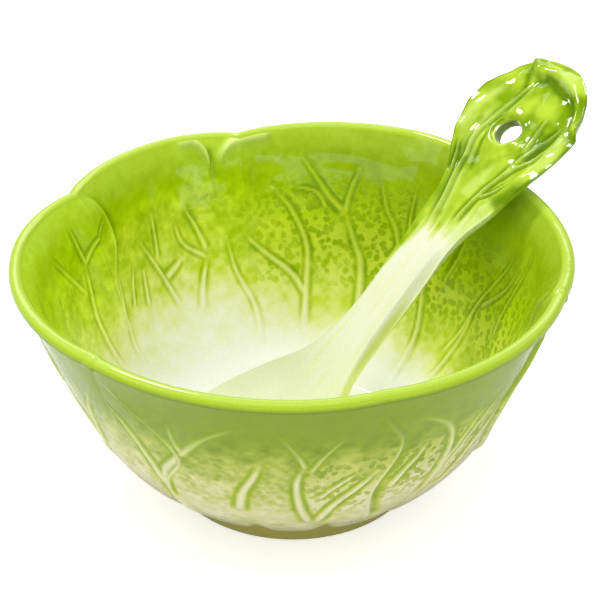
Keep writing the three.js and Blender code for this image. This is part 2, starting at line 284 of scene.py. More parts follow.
def bowl_section():
    """Half section of the bowl as points, and which side of it each is on."""
    outer, inner = wall_lines()
    angle = np.radians(np.linspace(*LIP_ARC, LIP_STEPS))
    bead = LIP_THICKNESS / 2
    lip = np.stack([RIM_RADIUS - bead + bead * np.cos(angle),
                    RIM_HEIGHT - bead + bead * np.sin(angle)], 1)
    edge = inner[-1][0]
    floor = [(edge * out, FLOOR_HEIGHT + up) for out, up in FLOOR_SHAPE]
    floor.append((MIDDLE_HOLE, FLOOR_HEIGHT))
    inside = smooth_curve([lip[-1], *inner[::INNER_THINNING], inner[-1], *floor])
    foot = np.array([
        (MIDDLE_HOLE, FOOT_RECESS),
        (FOOT_RADIUS - FOOT_WIDTH - 1, FOOT_RECESS),
        (FOOT_RADIUS - FOOT_WIDTH, 0.3),
        (FOOT_RADIUS - FOOT_WIDTH + 0.4, 0),
        (FOOT_RADIUS - 0.6, 0),
        (FOOT_RADIUS - 0.15, 0.4),
        (FOOT_RADIUS, 1.2),
    ])
    parts = [
        ("foot", foot),
        ("outer", evenly(outer, OUTER_STEPS)),
        ("lip", lip),
        ("inner", evenly(inside, INNER_STEPS)[1:]),
    ]
    side = np.concatenate([[name] * len(points) for name, points in parts])
    return np.vstack([points for _, points in parts]), side


# ---- Spoon shape ----


def by_parts(*rows):
    """A table along the spoon, from rows of (place, share of a size, the size). Places count the
    spoon's parts: 0.5 is halfway along the scoop, 1.5 along the stalk, 2.5 along the handle."""
    ends = [0, SCOOP_LENGTH, HANDLE_START, SPOON_LENGTH]
    return [(np.interp(place, range(4), ends), share * size) for place, share, size in rows]


HALF_WIDTH = by_parts(
    (0, 0.34, SCOOP_WIDTH), (0.22, 0.46, SCOOP_WIDTH), (0.45, 0.5, SCOOP_WIDTH),
    (0.7, 0.4, SCOOP_WIDTH), (0.9, 0.25, SCOOP_WIDTH), (1.12, 0.54, STALK_WIDTH),
    (1.5, 0.5, STALK_WIDTH), (2, 0.62, STALK_WIDTH), (2.25, 0.4, HANDLE_WIDTH),
    (2.5, 0.49, HANDLE_WIDTH), (2.72, 0.5, HANDLE_WIDTH), (2.88, 0.43, HANDLE_WIDTH),
    (3, 0.3, HANDLE_WIDTH),
)
DISH = by_parts(
    (0, 0.25, SCOOP_DEPTH), (0.15, 0.75, SCOOP_DEPTH), (0.4, 1, SCOOP_DEPTH),
    (0.7, 0.75, SCOOP_DEPTH), (1, 0.25, SCOOP_DEPTH), (1.3, 1, STALK_CHANNEL), (3, 1, STALK_CHANNEL),
)
THICKNESS = by_parts(
    (0, 0.7, SCOOP_THICKNESS), (0.5, 1, SCOOP_THICKNESS), (1, 0.8, STALK_THICKNESS),
    (1.4, 1, STALK_THICKNESS), (2, 1, STALK_THICKNESS), (2.3, 1, HANDLE_THICKNESS),
    (3, 0.7, HANDLE_THICKNESS),
)
TILT = by_parts(
    (0, -1, SCOOP_BEND), (0.5, -0.7, SCOOP_BEND), (1, -0.3, SCOOP_BEND), (1.4, 0, SCOOP_BEND),
    (2, 0, HANDLE_BEND), (2.6, -0.7, HANDLE_BEND), (3, -1, HANDLE_BEND),
)


def spine_line():
    """Places along the spoon, with the line level with its edges and its tilt there."""
    at = np.linspace(0, SPOON_LENGTH, SPINE_STEPS)
    middle_tilt = np.radians(profile(TILT, (at[1:] + at[:-1]) / 2))
    x = np.concatenate([[0], np.cumsum(np.cos(middle_tilt) * np.diff(at))])
    z = np.concatenate([[0], np.cumsum(np.sin(middle_tilt) * np.diff(at))])
    return at, x, z, np.radians(profile(TILT, at))


SPINE = spine_line()


def end_roundness(at):
    from_end = np.minimum(np.minimum(at, SPOON_LENGTH - at), END_ROUNDING)
    return np.sqrt(np.maximum(1 - (1 - from_end / END_ROUNDING) ** 2, 0))


def spoon_points(at, across, height):
    """Points of the spoon in its own frame, from millimetres along, across and up."""
    line, x, z, tilt = SPINE
    t = np.interp(at, line, tilt)
    return np.stack([
        np.interp(at, line, x) - np.sin(t) * height,
        across,
        np.interp(at, line, z) + np.cos(t) * height,
    ], -1)


# ---- Random texture ----


def cloud(points, size, seed):
    """Smooth random values between -1 and 1 at points, with features of about this size."""
    values = np.random.default_rng(seed).uniform(-1, 1, (CLOUD_GRID,) * 3)
    place = points / size
    low = np.floor(place).astype(int)
    share = place - low
    share = share * share * (3 - 2 * share)
    total = np.zeros(points.shape[:-1])
    for corner in np.ndindex(2, 2, 2):
        weight = np.prod(np.where(corner, share, 1 - share), axis=-1)
        total += weight * values[tuple(np.moveaxis(np.mod(low + corner, CLOUD_GRID), -1, 0))]
    return total


def clouds(points, layers):
    """Clouds added together, given as (height, size or a size for each axis, seed)."""
    return sum(height * cloud(points, size, seed) for height, size, seed in layers)


# ---- Relief: veins and leaf edges ----

# Beside a vein's ridge the glaze pools. Its distance and width are in widths of the vein, plus
# a fixed part in millimetres.
POOL_PLACE = (1.5, 0.3)
POOL_WIDTH = (0.55, 0.25)
# Nothing of a vein is left this far from its line
VEIN_REACH = 9.0
# Its width at the end, and the shares of its length over which it rises and fades
TIP_WIDTH = 0.5
VEIN_RISE, VEIN_FADE = 0.12, 0.35
VEIN_CURVE_STEPS = 6

# Across the edge of a leaf: where the step is, the ridge along it, and the pool at its foot,
# which is wider on the lower leaf. Along it: how far before and after its ends it fades.
EDGE_STEP = (-0.5, 0.5)
EDGE_RIDGE = 0.8
EDGE_RIDGE_PLACE, EDGE_RIDGE_WIDTH = 0.6, 0.6
EDGE_POOL_PLACE, EDGE_POOL_WIDTHS = -1.2, (1.6, 0.7)
EDGE_FADE = (1, 8)


def new_fields(count):
    return {name: np.zeros(count) for name in ("ridge", "pool", "proud")}


def near_line(grid, line):
    """Grid points near a line, their distance from it, and the share of the line there."""
    u, v, scale = grid
    middle = line[:, 0].mean()
    half = np.abs(line[:, 0] - middle).max()
    off = turn_from(middle, u)
    close = (np.abs(off) - half) * scale < VEIN_REACH
    close &= (v > line[:, 1].min() - VEIN_REACH) & (v < line[:, 1].max() + VEIN_REACH)
    near = np.flatnonzero(close)
    across = (off[near][:, None] - (line[:, 0] - middle)[None, :]) * scale[near][:, None]
    up = v[near][:, None] - line[:, 1][None, :]
    step_across, step_up = -np.diff(across, axis=1), -np.diff(up, axis=1)
    length = np.maximum(step_across ** 2 + step_up ** 2, TINY)
    along = np.clip((across[:, :-1] * step_across + up[:, :-1] * step_up) / length, 0, 1)
    gap = np.hypot(across[:, :-1] - along * step_across, up[:, :-1] - along * step_up)
    best = gap.argmin(1)
    pick = np.arange(len(near)), best
    return near, gap[pick], (best + along[pick]) / (len(line) - 1)


def add_veins(fields, grid, veins, scale=1.0, to_grid=None):
    """Raised veins with glaze pooled on both sides. Each thins and fades towards its end."""
    for width, route in veins:
        line = smooth_curve(route, VEIN_CURVE_STEPS)
        if to_grid is not None:
            line = np.stack([line[:, 0], to_grid(line[:, 1])], 1)
        near, distance, share = near_line(grid, line)
        here = scale * width * lerp(1, TIP_WIDTH, share)
        strength = smoothstep(1 - share, 0, VEIN_FADE) * smoothstep(share, 0, VEIN_RISE)
        ridge = strength * bell(distance, here)
        beside = distance - POOL_PLACE[0] * here - POOL_PLACE[1]
        pool = strength * bell(beside, POOL_WIDTH[0] * here + POOL_WIDTH[1])
        fields["ridge"][near] = np.maximum(fields["ridge"][near], ridge)
        fields["pool"][near] = np.maximum(fields["pool"][near], pool)


def add_edges(fields, grid, edges, to_grid):
    """Edges where one leaf lies over the next, as (side, height, taper, route). side is 1 if the
    upper leaf is on the side of the larger azimuths, and -1 if it is on the other."""
    u, v, scale = grid
    before, after = EDGE_FADE
    for side, height, taper, route in edges:
        line = smooth_curve(route)
        at = to_grid(line[:, 1])
        order = np.argsort(at)
        at, azimuth = at[order], line[order, 0]
        past = turn_from(np.interp(v, at, azimuth), u) * scale * side
        ends = band(v, (at[0] - before, at[0] + after), (at[-1] - after, at[-1] + before))
        proud = ends * smoothstep(past, *EDGE_STEP) * np.exp(-np.maximum(past, 0) / taper)
        fields["proud"] += height * proud
        ridge = EDGE_RIDGE * ends * bell(past - EDGE_RIDGE_PLACE, EDGE_RIDGE_WIDTH)
        fields["ridge"] = np.maximum(fields["ridge"], ridge)
        pool = ends * lopsided_bell(past - EDGE_POOL_PLACE, *EDGE_POOL_WIDTHS)
        fields["pool"] = np.maximum(fields["pool"], pool)


def turned(veins, source, target, mirrored=False):
    """The same veins moved from one azimuth to another, for a leaf like the first."""
    sign = -1 if mirrored else 1
    return [(width, [(target + sign * (a - source), h) for a, h in route]) for width, route in veins]


# Veins inside the bowl as (width, [(azimuth, height), ...]), from the base to the tip
BACK_LEAF_INSIDE = [
    (1.7, [(68, 22), (70, 37), (73, 43), (76, 51)]),
    (1.5, [(76, 50), (80, 54), (84, 60), (89, 69)]),
    (1.2, [(76, 50), (75, 57), (73, 64)]),
    (1.5, [(86, 16), (86, 28), (86, 40), (89, 48), (93, 55), (98, 60)]),
    (1.4, [(85, 25), (90, 32), (97, 38), (102, 43), (106, 48)]),
    (1.0, [(81, 51), (84, 56), (92, 58)]),
    (1.2, [(58, 36), (61, 47), (65, 53), (68, 64)]),
    (0.9, [(57, 45), (58, 53), (58, 62)]),
    (1.3, [(102, 14), (103, 24), (108, 35), (110, 47)]),
]
BACK_LEFT_LEAF_INSIDE = [
    (1.1, [(128, 28), (133, 42), (138, 55)]),
    (0.9, [(132, 44), (131, 50), (130, 59)]),
    (1.2, [(116, 42), (118, 49), (121, 57)]),
    (1.6, [(121, 26), (119, 33), (116, 41)]),
    (1.0, [(116, 40), (123, 46), (124, 53)]),
    (1.0, [(146, 35), (144, 41), (141, 47)]),
    (1.0, [(140, 33), (139, 39), (138, 44)]),
    (1.9, [(131, 38), (127, 40), (124, 42)]),
]
LEFT_LEAF_INSIDE = [
    (1.3, [(162, 22), (164, 41), (162, 49), (160, 58)]),
    (1.0, [(160, 56), (161, 63), (162, 70)]),
    (1.0, [(161, 56), (156, 60), (151, 63), (147, 65)]),
    (1.0, [(164, 49), (168, 57), (174, 68)]),
    (1.2, [(153, 18), (152, 31), (150, 42), (149, 50)]),
]
RIGHT_LEAF_INSIDE = [
    (1.1, [(31, 22), (28, 29), (25, 41), (22, 48), (19, 56), (19, 66)]),
    (1.0, [(11, 36), (12, 47), (11, 57), (10, 70)]),
    (1.0, [(24, 40), (16, 50), (14, 60)]),
    (1.6, [(43, 10), (44, 22), (48, 35), (48, 46)]),
    (1.3, [(29, 12), (26, 31), (26, 42)]),
]
INSIDE_VEINS = [
    *BACK_LEAF_INSIDE,
    *BACK_LEFT_LEAF_INSIDE,
    *LEFT_LEAF_INSIDE,
    *RIGHT_LEAF_INSIDE,
    *turned(BACK_LEAF_INSIDE, 78, 260, True),
    *turned(BACK_LEFT_LEAF_INSIDE, 128, 312, True),
    *turned(LEFT_LEAF_INSIDE[:4], 163, 205, True),
    *turned(RIGHT_LEAF_INSIDE[:3], 20, 348, True),
]
INSIDE_EDGES = [
    (1, 1.1, 12, [(154.6, 74), (150, 71), (147.4, 66), (146, 60), (146.3, 55), (149, 50.5), (151.5, 47),
                  (152, 38), (151, 28)]),
    (-1, 0.9, 12, [(40, 74), (38, 64), (38, 50), (42, 36)]),
    (1, 0.9, 12, [(226, 74), (222, 62), (223, 50), (227, 34)]),
    (-1, 0.9, 12, [(288, 74), (292, 62), (291, 50), (288, 34)]),
    (1, 0.8, 10, [(343, 74), (346, 62), (346, 50), (343, 36)]),
]

# Veins outside the bowl
FRONT_LEFT_LEAF_OUTSIDE = [
    (1.7, [(236, 26), (237, 36), (242, 44), (245, 50)]),
    (1.2, [(245, 49), (244, 54), (244, 62)]),
    (1.3, [(244, 47), (248, 53), (253, 59), (262, 65)]),
    (1.4, [(236, 28), (233, 43), (230, 52), (225, 60)]),
    (1.5, [(256, 26), (258, 36), (261, 43), (264, 53)]),
    (1.4, [(275, 20), (272, 30), (271, 42), (273, 50)]),
    (0.8, [(273, 48), (271, 54), (267, 63)]),
    (0.8, [(274, 46), (277, 53), (282, 61)]),
    (1.5, [(276, 20), (280, 30), (286, 38), (291, 46)]),
    (0.9, [(276, 34), (281, 40), (286, 45)]),
]
FRONT_RIGHT_LEAF_OUTSIDE = [
    (1.4, [(294, 33), (297, 40), (300, 46), (302, 52)]),
    (1.5, [(305, 22), (309, 36), (309, 46), (306, 54), (300, 60), (294, 63)]),
    (0.8, [(306, 24), (312, 42), (318, 58)]),
    (0.7, [(308, 26), (316, 46), (324, 60)]),
    (0.9, [(312, 24), (320, 40), (328, 52)]),
]
OUTSIDE_VEINS = [
    *FRONT_LEFT_LEAF_OUTSIDE,
    *FRONT_RIGHT_LEAF_OUTSIDE,
    *turned(FRONT_LEFT_LEAF_OUTSIDE, 260, 12, True),
    *turned(FRONT_LEFT_LEAF_OUTSIDE, 260, 74),
    *turned(FRONT_RIGHT_LEAF_OUTSIDE, 309, 128, True),
    *turned(FRONT_LEFT_LEAF_OUTSIDE, 260, 188, True),
]
OUTSIDE_EDGES = [
    (-1, 0.8, 12, [(289, 66), (292, 60), (294, 56), (294, 49), (291, 39), (290, 32), (293, 16)]),
    (1, 0.6, 14, [(228, 66), (240, 54), (243, 45), (237, 33), (237, 24), (242, 15)]),
    (1, 0.6, 12, [(341, 70), (333, 57), (327, 46), (329, 34), (334, 22)]),
    (-1, 0.7, 14, [(43, 70), (46, 56), (43, 40), (46, 20)]),
    (1, 0.7, 14, [(104, 70), (100, 56), (103, 40), (100, 20)]),
    (-1, 0.7, 14, [(155, 70), (158, 54), (155, 38), (158, 18)]),
]

# The lips of the two back leaves curl down the inside and meet in a pinch, with a fold below it
CURLS = [
    (1.5, [(95, 74.9), (99, 74.8), (103, 74.2), (106.2, 72.6), (108.6, 70), (110.2, 66)]),
    (0.9, [(119, 74.7), (115.8, 73.8), (113.4, 72), (112.2, 69), (111.8, 65)]),
]
CURL_PROUD = 2.3
FOLD_AZIMUTH = 111.4
FOLD_DEPTH = 0.9
FOLD_WIDTH = 0.8
FOLD_HEIGHTS = ((56, 70), (70, 72.5))

# Where the lip of one leaf lies over the lip of the next, as (azimuth, side of the upper leaf)
LIP_OVERLAPS = ((229, -1), (341, 1))
OVERLAP_STEP = 0.5
OVERLAP_EDGE = (-0.4, 0.6)
OVERLAP_REACH = 11.0
OVERLAP_HEIGHTS = (68, 72)

# The wall bulges a little over the foot at the base of each leaf stalk, with valleys between
VALLEYS = (20, 62, 104, 146, 205, 232, 258, 281, 303, 335)
VALLEY_DEPTH = 0.9
VALLEY_WIDTH = 2.6
VALLEY_HEIGHTS = ((4, 5), (9, 24))

# Ridges stand out of the wall, and the glaze pools in shallow grooves beside them
INSIDE_SCALE = 0.52
OUTSIDE_SCALE = 0.72
INSIDE_RIDGE, OUTSIDE_RIDGE = 0.4, 0.5
INSIDE_GROOVE, OUTSIDE_GROOVE = 0.16, 0.3
# Both are uneven, as (field, its least share, size of the cloud, seed, range of the cloud)
UNEVEN = (("pool", 0.55, 4.5, 9, (-0.5, 0.4)), ("ridge", 0.7, 6, 10, (-0.6, 0.1)))
# Soft swellings of the whole wall, and the heights where they rise and fall
SWELL = ((0.35, 14, 5),)
SWELL_HEIGHTS = ((18, 40), (62, 71))


def bowl_relief(section, side, azimuth, points):
    """How far the bowl's surface stands out, and the fields that colour it, as arrays of rows
    along the section and columns round the bowl."""
    rows, columns = len(section), len(azimuth)
    along = along_of(section)
    radius, height = section[:, 0], section[:, 1]
    fields = new_fields(rows * columns)
    fields["curl"] = np.zeros(rows * columns)
    sides = {
        "inner": (INSIDE_VEINS, INSIDE_EDGES, INSIDE_SCALE),
        "outer": (OUTSIDE_VEINS, OUTSIDE_EDGES, OUTSIDE_SCALE),
    }
    for name, (veins, edges, scale) in sides.items():
        here = np.flatnonzero(side == name)
        up = here[np.argsort(height[here])]
        part = new_fields(len(here) * columns)
        grid = (
            np.tile(azimuth, len(here)),
            np.repeat(along[here], columns),
            np.repeat(radius[here] * DEGREE, columns),
        )

        def to_along(at_height):
            return np.interp(at_height, height[up], along[up])

        add_veins(part, grid, veins, scale, to_along)
        add_edges(part, grid, edges, to_along)
        place = (here[:, None] * columns + np.arange(columns)).ravel()
        for key, values in part.items():
            fields[key][place] = values
        if name == "inner":
            curls = new_fields(len(here) * columns)
            add_veins(curls, grid, CURLS, 1.0, to_along)
            fields["curl"][place] = curls["ridge"]
    fields = {key: values.reshape(rows, columns) for key, values in fields.items()}

    for name, least, size, seed, span in UNEVEN:
        fields[name] = fields[name] * lerp(least, 1, smoothstep(cloud(points, size, seed), *span))
    inner, outer = (side == "inner")[:, None], (side == "outer")[:, None]
    high = np.broadcast_to(height[:, None], (rows, columns))
    off_fold = (azimuth[None, :] - FOLD_AZIMUTH) * DEGREE * radius[:, None]
    fold = bell(off_fold, FOLD_WIDTH) * band(high, *FOLD_HEIGHTS) * ~outer
    fields["fold"] = fold * inner
    from_valley = np.min([np.abs(turn_from(at, azimuth)) for at in VALLEYS], axis=0)
    valley = bell(from_valley[None, :] * DEGREE * radius[:, None], VALLEY_WIDTH)
    fields["valley"] = valley * band(high, *VALLEY_HEIGHTS) * outer

    step = np.zeros((rows, columns))
    for at, upper in LIP_OVERLAPS:
        past = turn_from(at, azimuth) * DEGREE * RIM_RADIUS * upper
        bump = smoothstep(past, *OVERLAP_EDGE) * np.exp(-np.maximum(past, 0) / OVERLAP_REACH)
        step += OVERLAP_STEP * bump[None, :] * smoothstep(high, *OVERLAP_HEIGHTS)
    ridge = np.where(inner, INSIDE_RIDGE, OUTSIDE_RIDGE) * fields["ridge"]
    groove = np.where(inner, INSIDE_GROOVE, OUTSIDE_GROOVE) * fields["pool"]
    swell = clouds(points, SWELL) * band(high, *SWELL_HEIGHTS)
    fields["proud"] = (fields["proud"] + ridge - groove + swell + step + CURL_PROUD * fields["curl"]
                       - FOLD_DEPTH * fold - VALLEY_DEPTH * fields["valley"])
    return fields


# ---- Bowl mesh and glaze colours ----

CREAM = (254, 254, 249)

# Colours by height, where the glaze is thin and where it is thick
INSIDE_THIN = (
    (0, CREAM), (14, CREAM), (20, (252, 252, 236)), (26, (246, 247, 206)), (32, (234, 241, 146)),
    (38, (225, 236, 108)), (44, (212, 230, 64)), (50, (208, 227, 58)), (56, (191, 218, 22)),
    (62, (172, 206, 8)), (66, (168, 201, 24)), (70, (170, 202, 46)), (75, (176, 208, 60)),
)
INSIDE_THICK = (
    (0, CREAM), (13, CREAM), (20, (244, 247, 198)), (26, (232, 240, 138)), (32, (200, 221, 12)),
    (38, (172, 201, 0)), (44, (160, 190, 0)), (50, (153, 183, 0)), (62, (150, 182, 0)),
    (66, (152, 184, 8)), (70, (158, 189, 30)), (75, (168, 200, 48)),
)
INSIDE_CREST = (
    (14, CREAM), (26, (248, 250, 214)), (34, (240, 245, 160)), (44, (226, 239, 104)),
    (55, (210, 230, 62)), (66, (184, 212, 36)), (75, (172, 204, 40)),
)
# What a full pool inside multiplies the colour by, and the heights over which pools show
POOL_TINT = np.array([0.5, 0.6, 0.05])
POOL_HEIGHTS = (16, 38)
# How much higher in the tables the colours inside are taken, by azimuth
INSIDE_SHIFT = (
    (0, 7), (18, 12), (50, 11), (66, 8), (80, 7), (95, 4), (108, -2), (125, -5), (150, -4),
    (175, 0), (205, 3), (240, 0), (280, -2), (320, 4),
)
SHIFT_HEIGHTS = ((11, 27), (54, 66))
# Painted light and shade, by azimuth: how much lighter or darker the glaze inside is painted, lighter
# on the left and darker on the right
INSIDE_LIGHT_AND_SHADE = (
    (0, 0.84), (30, 0.84), (66, 0.82), (82, 0.9), (95, 0.98), (112, 1.04), (137, 1.0), (160, 1.14),
    (185, 1.18), (220, 1.1), (270, 1.0), (320, 0.92),
)
INSIDE_LIGHT_AND_SHADE_HEIGHTS = (24, 44)
OUTSIDE_THIN = (
    (4, (214, 210, 156)), (14, (228, 224, 170)), (20, (234, 230, 188)), (30, (232, 229, 194)),
    (38, (220, 221, 158)), (44, (202, 209, 112)), (50, (184, 197, 76)), (56, (144, 166, 34)),
    (62, (136, 160, 36)), (71, (134, 158, 38)),
)
OUTSIDE_THICK = (
    (4, (196, 192, 130)), (14, (198, 194, 126)), (20, (208, 206, 130)), (26, (212, 212, 134)),
    (32, (184, 192, 78)), (38, (158, 176, 34)), (44, (140, 163, 16)), (50, (128, 151, 12)),
    (56, (122, 146, 14)), (62, (130, 154, 30)), (71, (130, 155, 36)),
)
OUTSIDE_CREST = (
    (12, (232, 229, 190)), (42, (228, 228, 178)), (50, (212, 219, 136)), (57, (176, 197, 80)),
    (71, (146, 170, 52)),
)
OUTSIDE_POOL = (136, 166, 6)
OUTSIDE_POOL_HEIGHTS = (10, 26)
OUTSIDE_TINT = (
    (0, 1.1), (205, 1.05), (240, 1.0), (270, 0.97), (300, 1.06), (318, 1.18), (340, 1.2), (350, 1.1),
)
OUTSIDE_TINT_HEIGHTS = (40, 56)
# The foot's glaze ends just over it, and higher in the valleys
FOOT_GLAZE = (168, 162, 86)
FOOT_GLAZE_TOP = 0.4
FOOT_CUSP = 2.2
# The lip's glaze by height, painted darker towards its underside as painted shade
LIP_GLAZE_AND_SHADE = (
    (70.5, (76, 100, 0)), (71.6, (88, 115, 0)), (72.6, (120, 150, 0)), (73.5, (160, 192, 14)),
    (74.3, (177, 206, 58)), (75, (184, 211, 84)),
)
# A painted highlight on the lips that curl into the pinch
CURL_HIGHLIGHT = (221, 239, 136)
# How much of the colour each feature takes over. A vein's crest does so by how much it stands
# out, and inside the bowl by its height too.
INSIDE_CREST_SHARE, OUTSIDE_CREST_SHARE = 0.85, 0.95
CREST_RIDGE, CREST_HEIGHTS = (0, 0.9), (12, 26)
# How much of the colour the curls' painted highlight takes over
CURL_HIGHLIGHT_SHARE = 0.9
FOLD_SHARE = 0.7
POOL_SHARE = 0.95
VALLEY_SHARE = 0.25
# Rounded cells, by the heights where they appear and end, the azimuths where they change, and
# their share there. They come in patches, and keep off the veins and out of the pools.
INSIDE_CELLS, INSIDE_CELLS_FADE, INSIDE_CELLS_LEFT = ((24, 34), (54, 63)), (93, 108), 0.15
OUTSIDE_CELLS, OUTSIDE_CELLS_RISE, OUTSIDE_CELLS_LEFT = ((22, 30), (46, 54)), (268, 282), 0.3
CELL_PATCHES, CELL_PATCH_SHARE = (-2.2, 1.2), 0.5
CELL_POOL_SHARE = 0.7
# Brushed unevenness, which moves the colours up and down, and streaks of thin and thick glaze
BRUSH = ((1.8, (7, 7, 10), 1), (1.3, 2.6, 2), (0.6, 1.1, 3))
STREAKS = ((0.55, 3.2, 7), (0.4, 1.3, 8))
STREAK_MEAN = 0.5


def glaze_colours(side, height, azimuth, fields, brush):
    """The bowl's linear colours where its glaze is thin and where it is thick, with painted light and
    shade inside by azimuth, painted shade under the lip, and a painted highlight on the curls.
    """
    shift = around(INSIDE_SHIFT, azimuth) * band(height, *SHIFT_HEIGHTS)
    inner = (side == "inner")[:, None]
    ridge, valley = fields["ridge"], fields["valley"]
    pool = fields["pool"] * (1 - ridge)
    inside_pool = pool * smoothstep(height + shift, *POOL_HEIGHTS)
    outside_pool = POOL_SHARE * pool * smoothstep(height, *OUTSIDE_POOL_HEIGHTS)
    inside_crest = INSIDE_CREST_SHARE * smoothstep(height, *CREST_HEIGHTS)
    crest = np.where(inner, inside_crest, OUTSIDE_CREST_SHARE) * smoothstep(ridge, *CREST_RIDGE)
    fold = FOLD_SHARE * fields["fold"] * (1 - fields["curl"])
    # Painted light and shade inside, by azimuth
    inside_light_and_shade = lerp(1, around(INSIDE_LIGHT_AND_SHADE, azimuth), smoothstep(height, *INSIDE_LIGHT_AND_SHADE_HEIGHTS))
    outer_tints = lerp(1, around(OUTSIDE_TINT, azimuth), smoothstep(height, *OUTSIDE_TINT_HEIGHTS))
    foot = height < FOOT_HEIGHT + FOOT_GLAZE_TOP + FOOT_CUSP * valley
    found = []
    for inside, outside in ((INSIDE_THIN, OUTSIDE_THIN), (INSIDE_THICK, OUTSIDE_THICK)):
        within = ramp(inside, height + shift + brush) * POOL_TINT ** inside_pool[..., None]
        within = mix(within, ramp(INSIDE_CREST, height + shift), crest)
        # The curls take a painted highlight
        within = mix(within, srgb(*CURL_HIGHLIGHT), CURL_HIGHLIGHT_SHARE * fields["curl"])
        within = within * POOL_TINT ** fold[..., None] * inside_light_and_shade[..., None]
        without = blend(ramp(outside, height + brush), srgb(*OUTSIDE_POOL), outside_pool)
        without = mix(without, ramp(OUTSIDE_CREST, height), crest) * outer_tints[..., None]
        without = blend(without, srgb(*OUTSIDE_POOL), VALLEY_SHARE * valley)
        without = np.where(foot[..., None], srgb(*FOOT_GLAZE), without)
        colours = np.where(inner[..., None], within, without)
        # The lip takes its glaze by height, with painted shade towards its underside
        found.append(np.where((side == "lip")[:, None, None], ramp(LIP_GLAZE_AND_SHADE, height), colours))
    return found


def cell_share(side, height, azimuth, fields, brush):
    """How far the glaze breaks into rounded cells between the veins."""
    inside = lerp(1, INSIDE_CELLS_LEFT, smoothstep(azimuth, *INSIDE_CELLS_FADE))
    outside = lerp(OUTSIDE_CELLS_LEFT, 1, smoothstep(azimuth, *OUTSIDE_CELLS_RISE))
    share = np.where((side == "inner")[:, None], inside * band(height, *INSIDE_CELLS),
                     outside * band(height, *OUTSIDE_CELLS))
    share = np.where(((side == "inner") | (side == "outer"))[:, None], share, 0)
    patches = lerp(CELL_PATCH_SHARE, 1, smoothstep(brush, *CELL_PATCHES))
    return share * patches * (1 - fields["ridge"]) * (1 - CELL_POOL_SHARE * fields["pool"])


def outward(section):
    """Directions out of the material, at the points of a half section."""
    tangent = np.gradient(section, axis=0)
    tangent /= np.maximum(np.linalg.norm(tangent, axis=1), TINY)[:, None]
    return np.stack([tangent[:, 1], -tangent[:, 0]], 1)


def grid_faces(rows, columns):
    """Quads of a grid whose columns close on themselves."""
    i, j = np.meshgrid(np.arange(rows - 1), np.arange(columns), indexing="ij")
    k = (j + 1) % columns
    corners = [i * columns + j, i * columns + k, (i + 1) * columns + k, (i + 1) * columns + j]
    return np.stack([c.ravel() for c in corners], 1)


def add_object(name, data):
    made = bpy.data.objects.new(name, data)
    bpy.context.scene.collection.objects.link(made)
    return made


def make_mesh(name, points, faces, paint):
    """A piece, with colours and numbers by name painted on its points."""
    mesh = bpy.data.meshes.new(name)
    mesh.from_pydata((points * MM).tolist(), [], faces)
    for attribute, values in paint.items():
        if values.ndim == 2:
            painted = mesh.attributes.new(attribute, "FLOAT_COLOR", "POINT")
            painted.data.foreach_set("color", np.hstack([values, np.ones((len(values), 1))]).ravel())
        else:
            painted = mesh.attributes.new(attribute, "FLOAT", "POINT")
            painted.data.foreach_set("value", values)
    mesh.shade_smooth()
    mesh.update()
    return add_object(name, mesh)


def build_bowl(axis):
    """The bowl as one closed surface, turned about this axis of the frame."""
    section, side = bowl_section()
    azimuth = np.arange(AZIMUTH_STEPS) * 360 / AZIMUTH_STEPS
    shape = (len(section), AZIMUTH_STEPS)
    all_azimuths = np.broadcast_to(azimuth, shape)
    height = np.broadcast_to(section[:, 1:], shape)
    leaves = rim_offset(azimuth)[None, :] * smoothstep(height, LEAF_FADE_HEIGHT, RIM_HEIGHT)
    radius = section[:, :1] + leaves
    angle = np.radians(all_azimuths)
    plain = np.stack([radius * np.cos(angle), radius * np.sin(angle), height], -1)

    fields = bowl_relief(section, side, azimuth, plain)
    out = outward(section)
    radius = radius + out[:, :1] * fields["proud"]
    z = height + out[:, 1:] * fields["proud"]
    points = np.stack([axis[0] + radius * np.cos(angle), axis[1] + radius * np.sin(angle), z], -1)

    last = (len(section) - 1) * AZIMUTH_STEPS
    ends = np.array([[*axis, FOOT_RECESS], [*axis, FLOOR_HEIGHT]])
    under, floor = points[..., 0].size, points[..., 0].size + 1
    faces = grid_faces(*shape).tolist()
    for j in range(AZIMUTH_STEPS):
        k = (j + 1) % AZIMUTH_STEPS
        faces.append([under, k, j])
        faces.append([last + j, last + k, floor])

    brush = clouds(plain, BRUSH)
    thin, thick = glaze_colours(side, height, all_azimuths, fields, brush)
    paint = {
        "thin": thin,
        "thick": thick,
        "cells": cell_share(side, height, all_azimuths, fields, brush),
        "depth": np.clip(STREAK_MEAN + clouds(plain, STREAKS), 0, 1),
    }
    for name, values in paint.items():
        flat = values.reshape((-1, 3) if values.ndim == 3 else -1)
        paint[name] = np.concatenate([flat, flat[:1], flat[-1:]])
    return make_mesh("leaf_bowl", np.vstack([points.reshape(-1, 3), ends]), faces, paint)


# ---- Spoon mesh and glaze colours ----

# The handle's leafy outline on the side towards the bowl's back, and on the other side, where it
# is wider than the CAD model's, as (along, across)
FAR_EDGE = (
    (100, 7.75), (112, 8.6), (117, 9), (122, 10.8), (130, 15.6), (137, 18.4), (144, 19.9),
    (150, 18.9), (156, 14.8), (160, 13.4), (167, 10),
)
NEAR_EDGE = (
    (92, 7.75), (100, 8.8), (107, 10.6), (112, 12.8), (116, 14.6), (122, 16.6), (128, 18.4),
    (133, 20), (139, 21.4), (145, 22.2), (149, 21.8), (154, 19.4), (161, 15.6), (167, 14),
)
LEAF_OUTLINE_FROM = (90, 104)
# The power that the section's roundness comes from, rounder than the CAD model's
EDGE_ROUNDNESS = 2.6
# At the edge the underside follows the top's relief, by this power of the share of the half width
EDGE_FOLLOW = 12

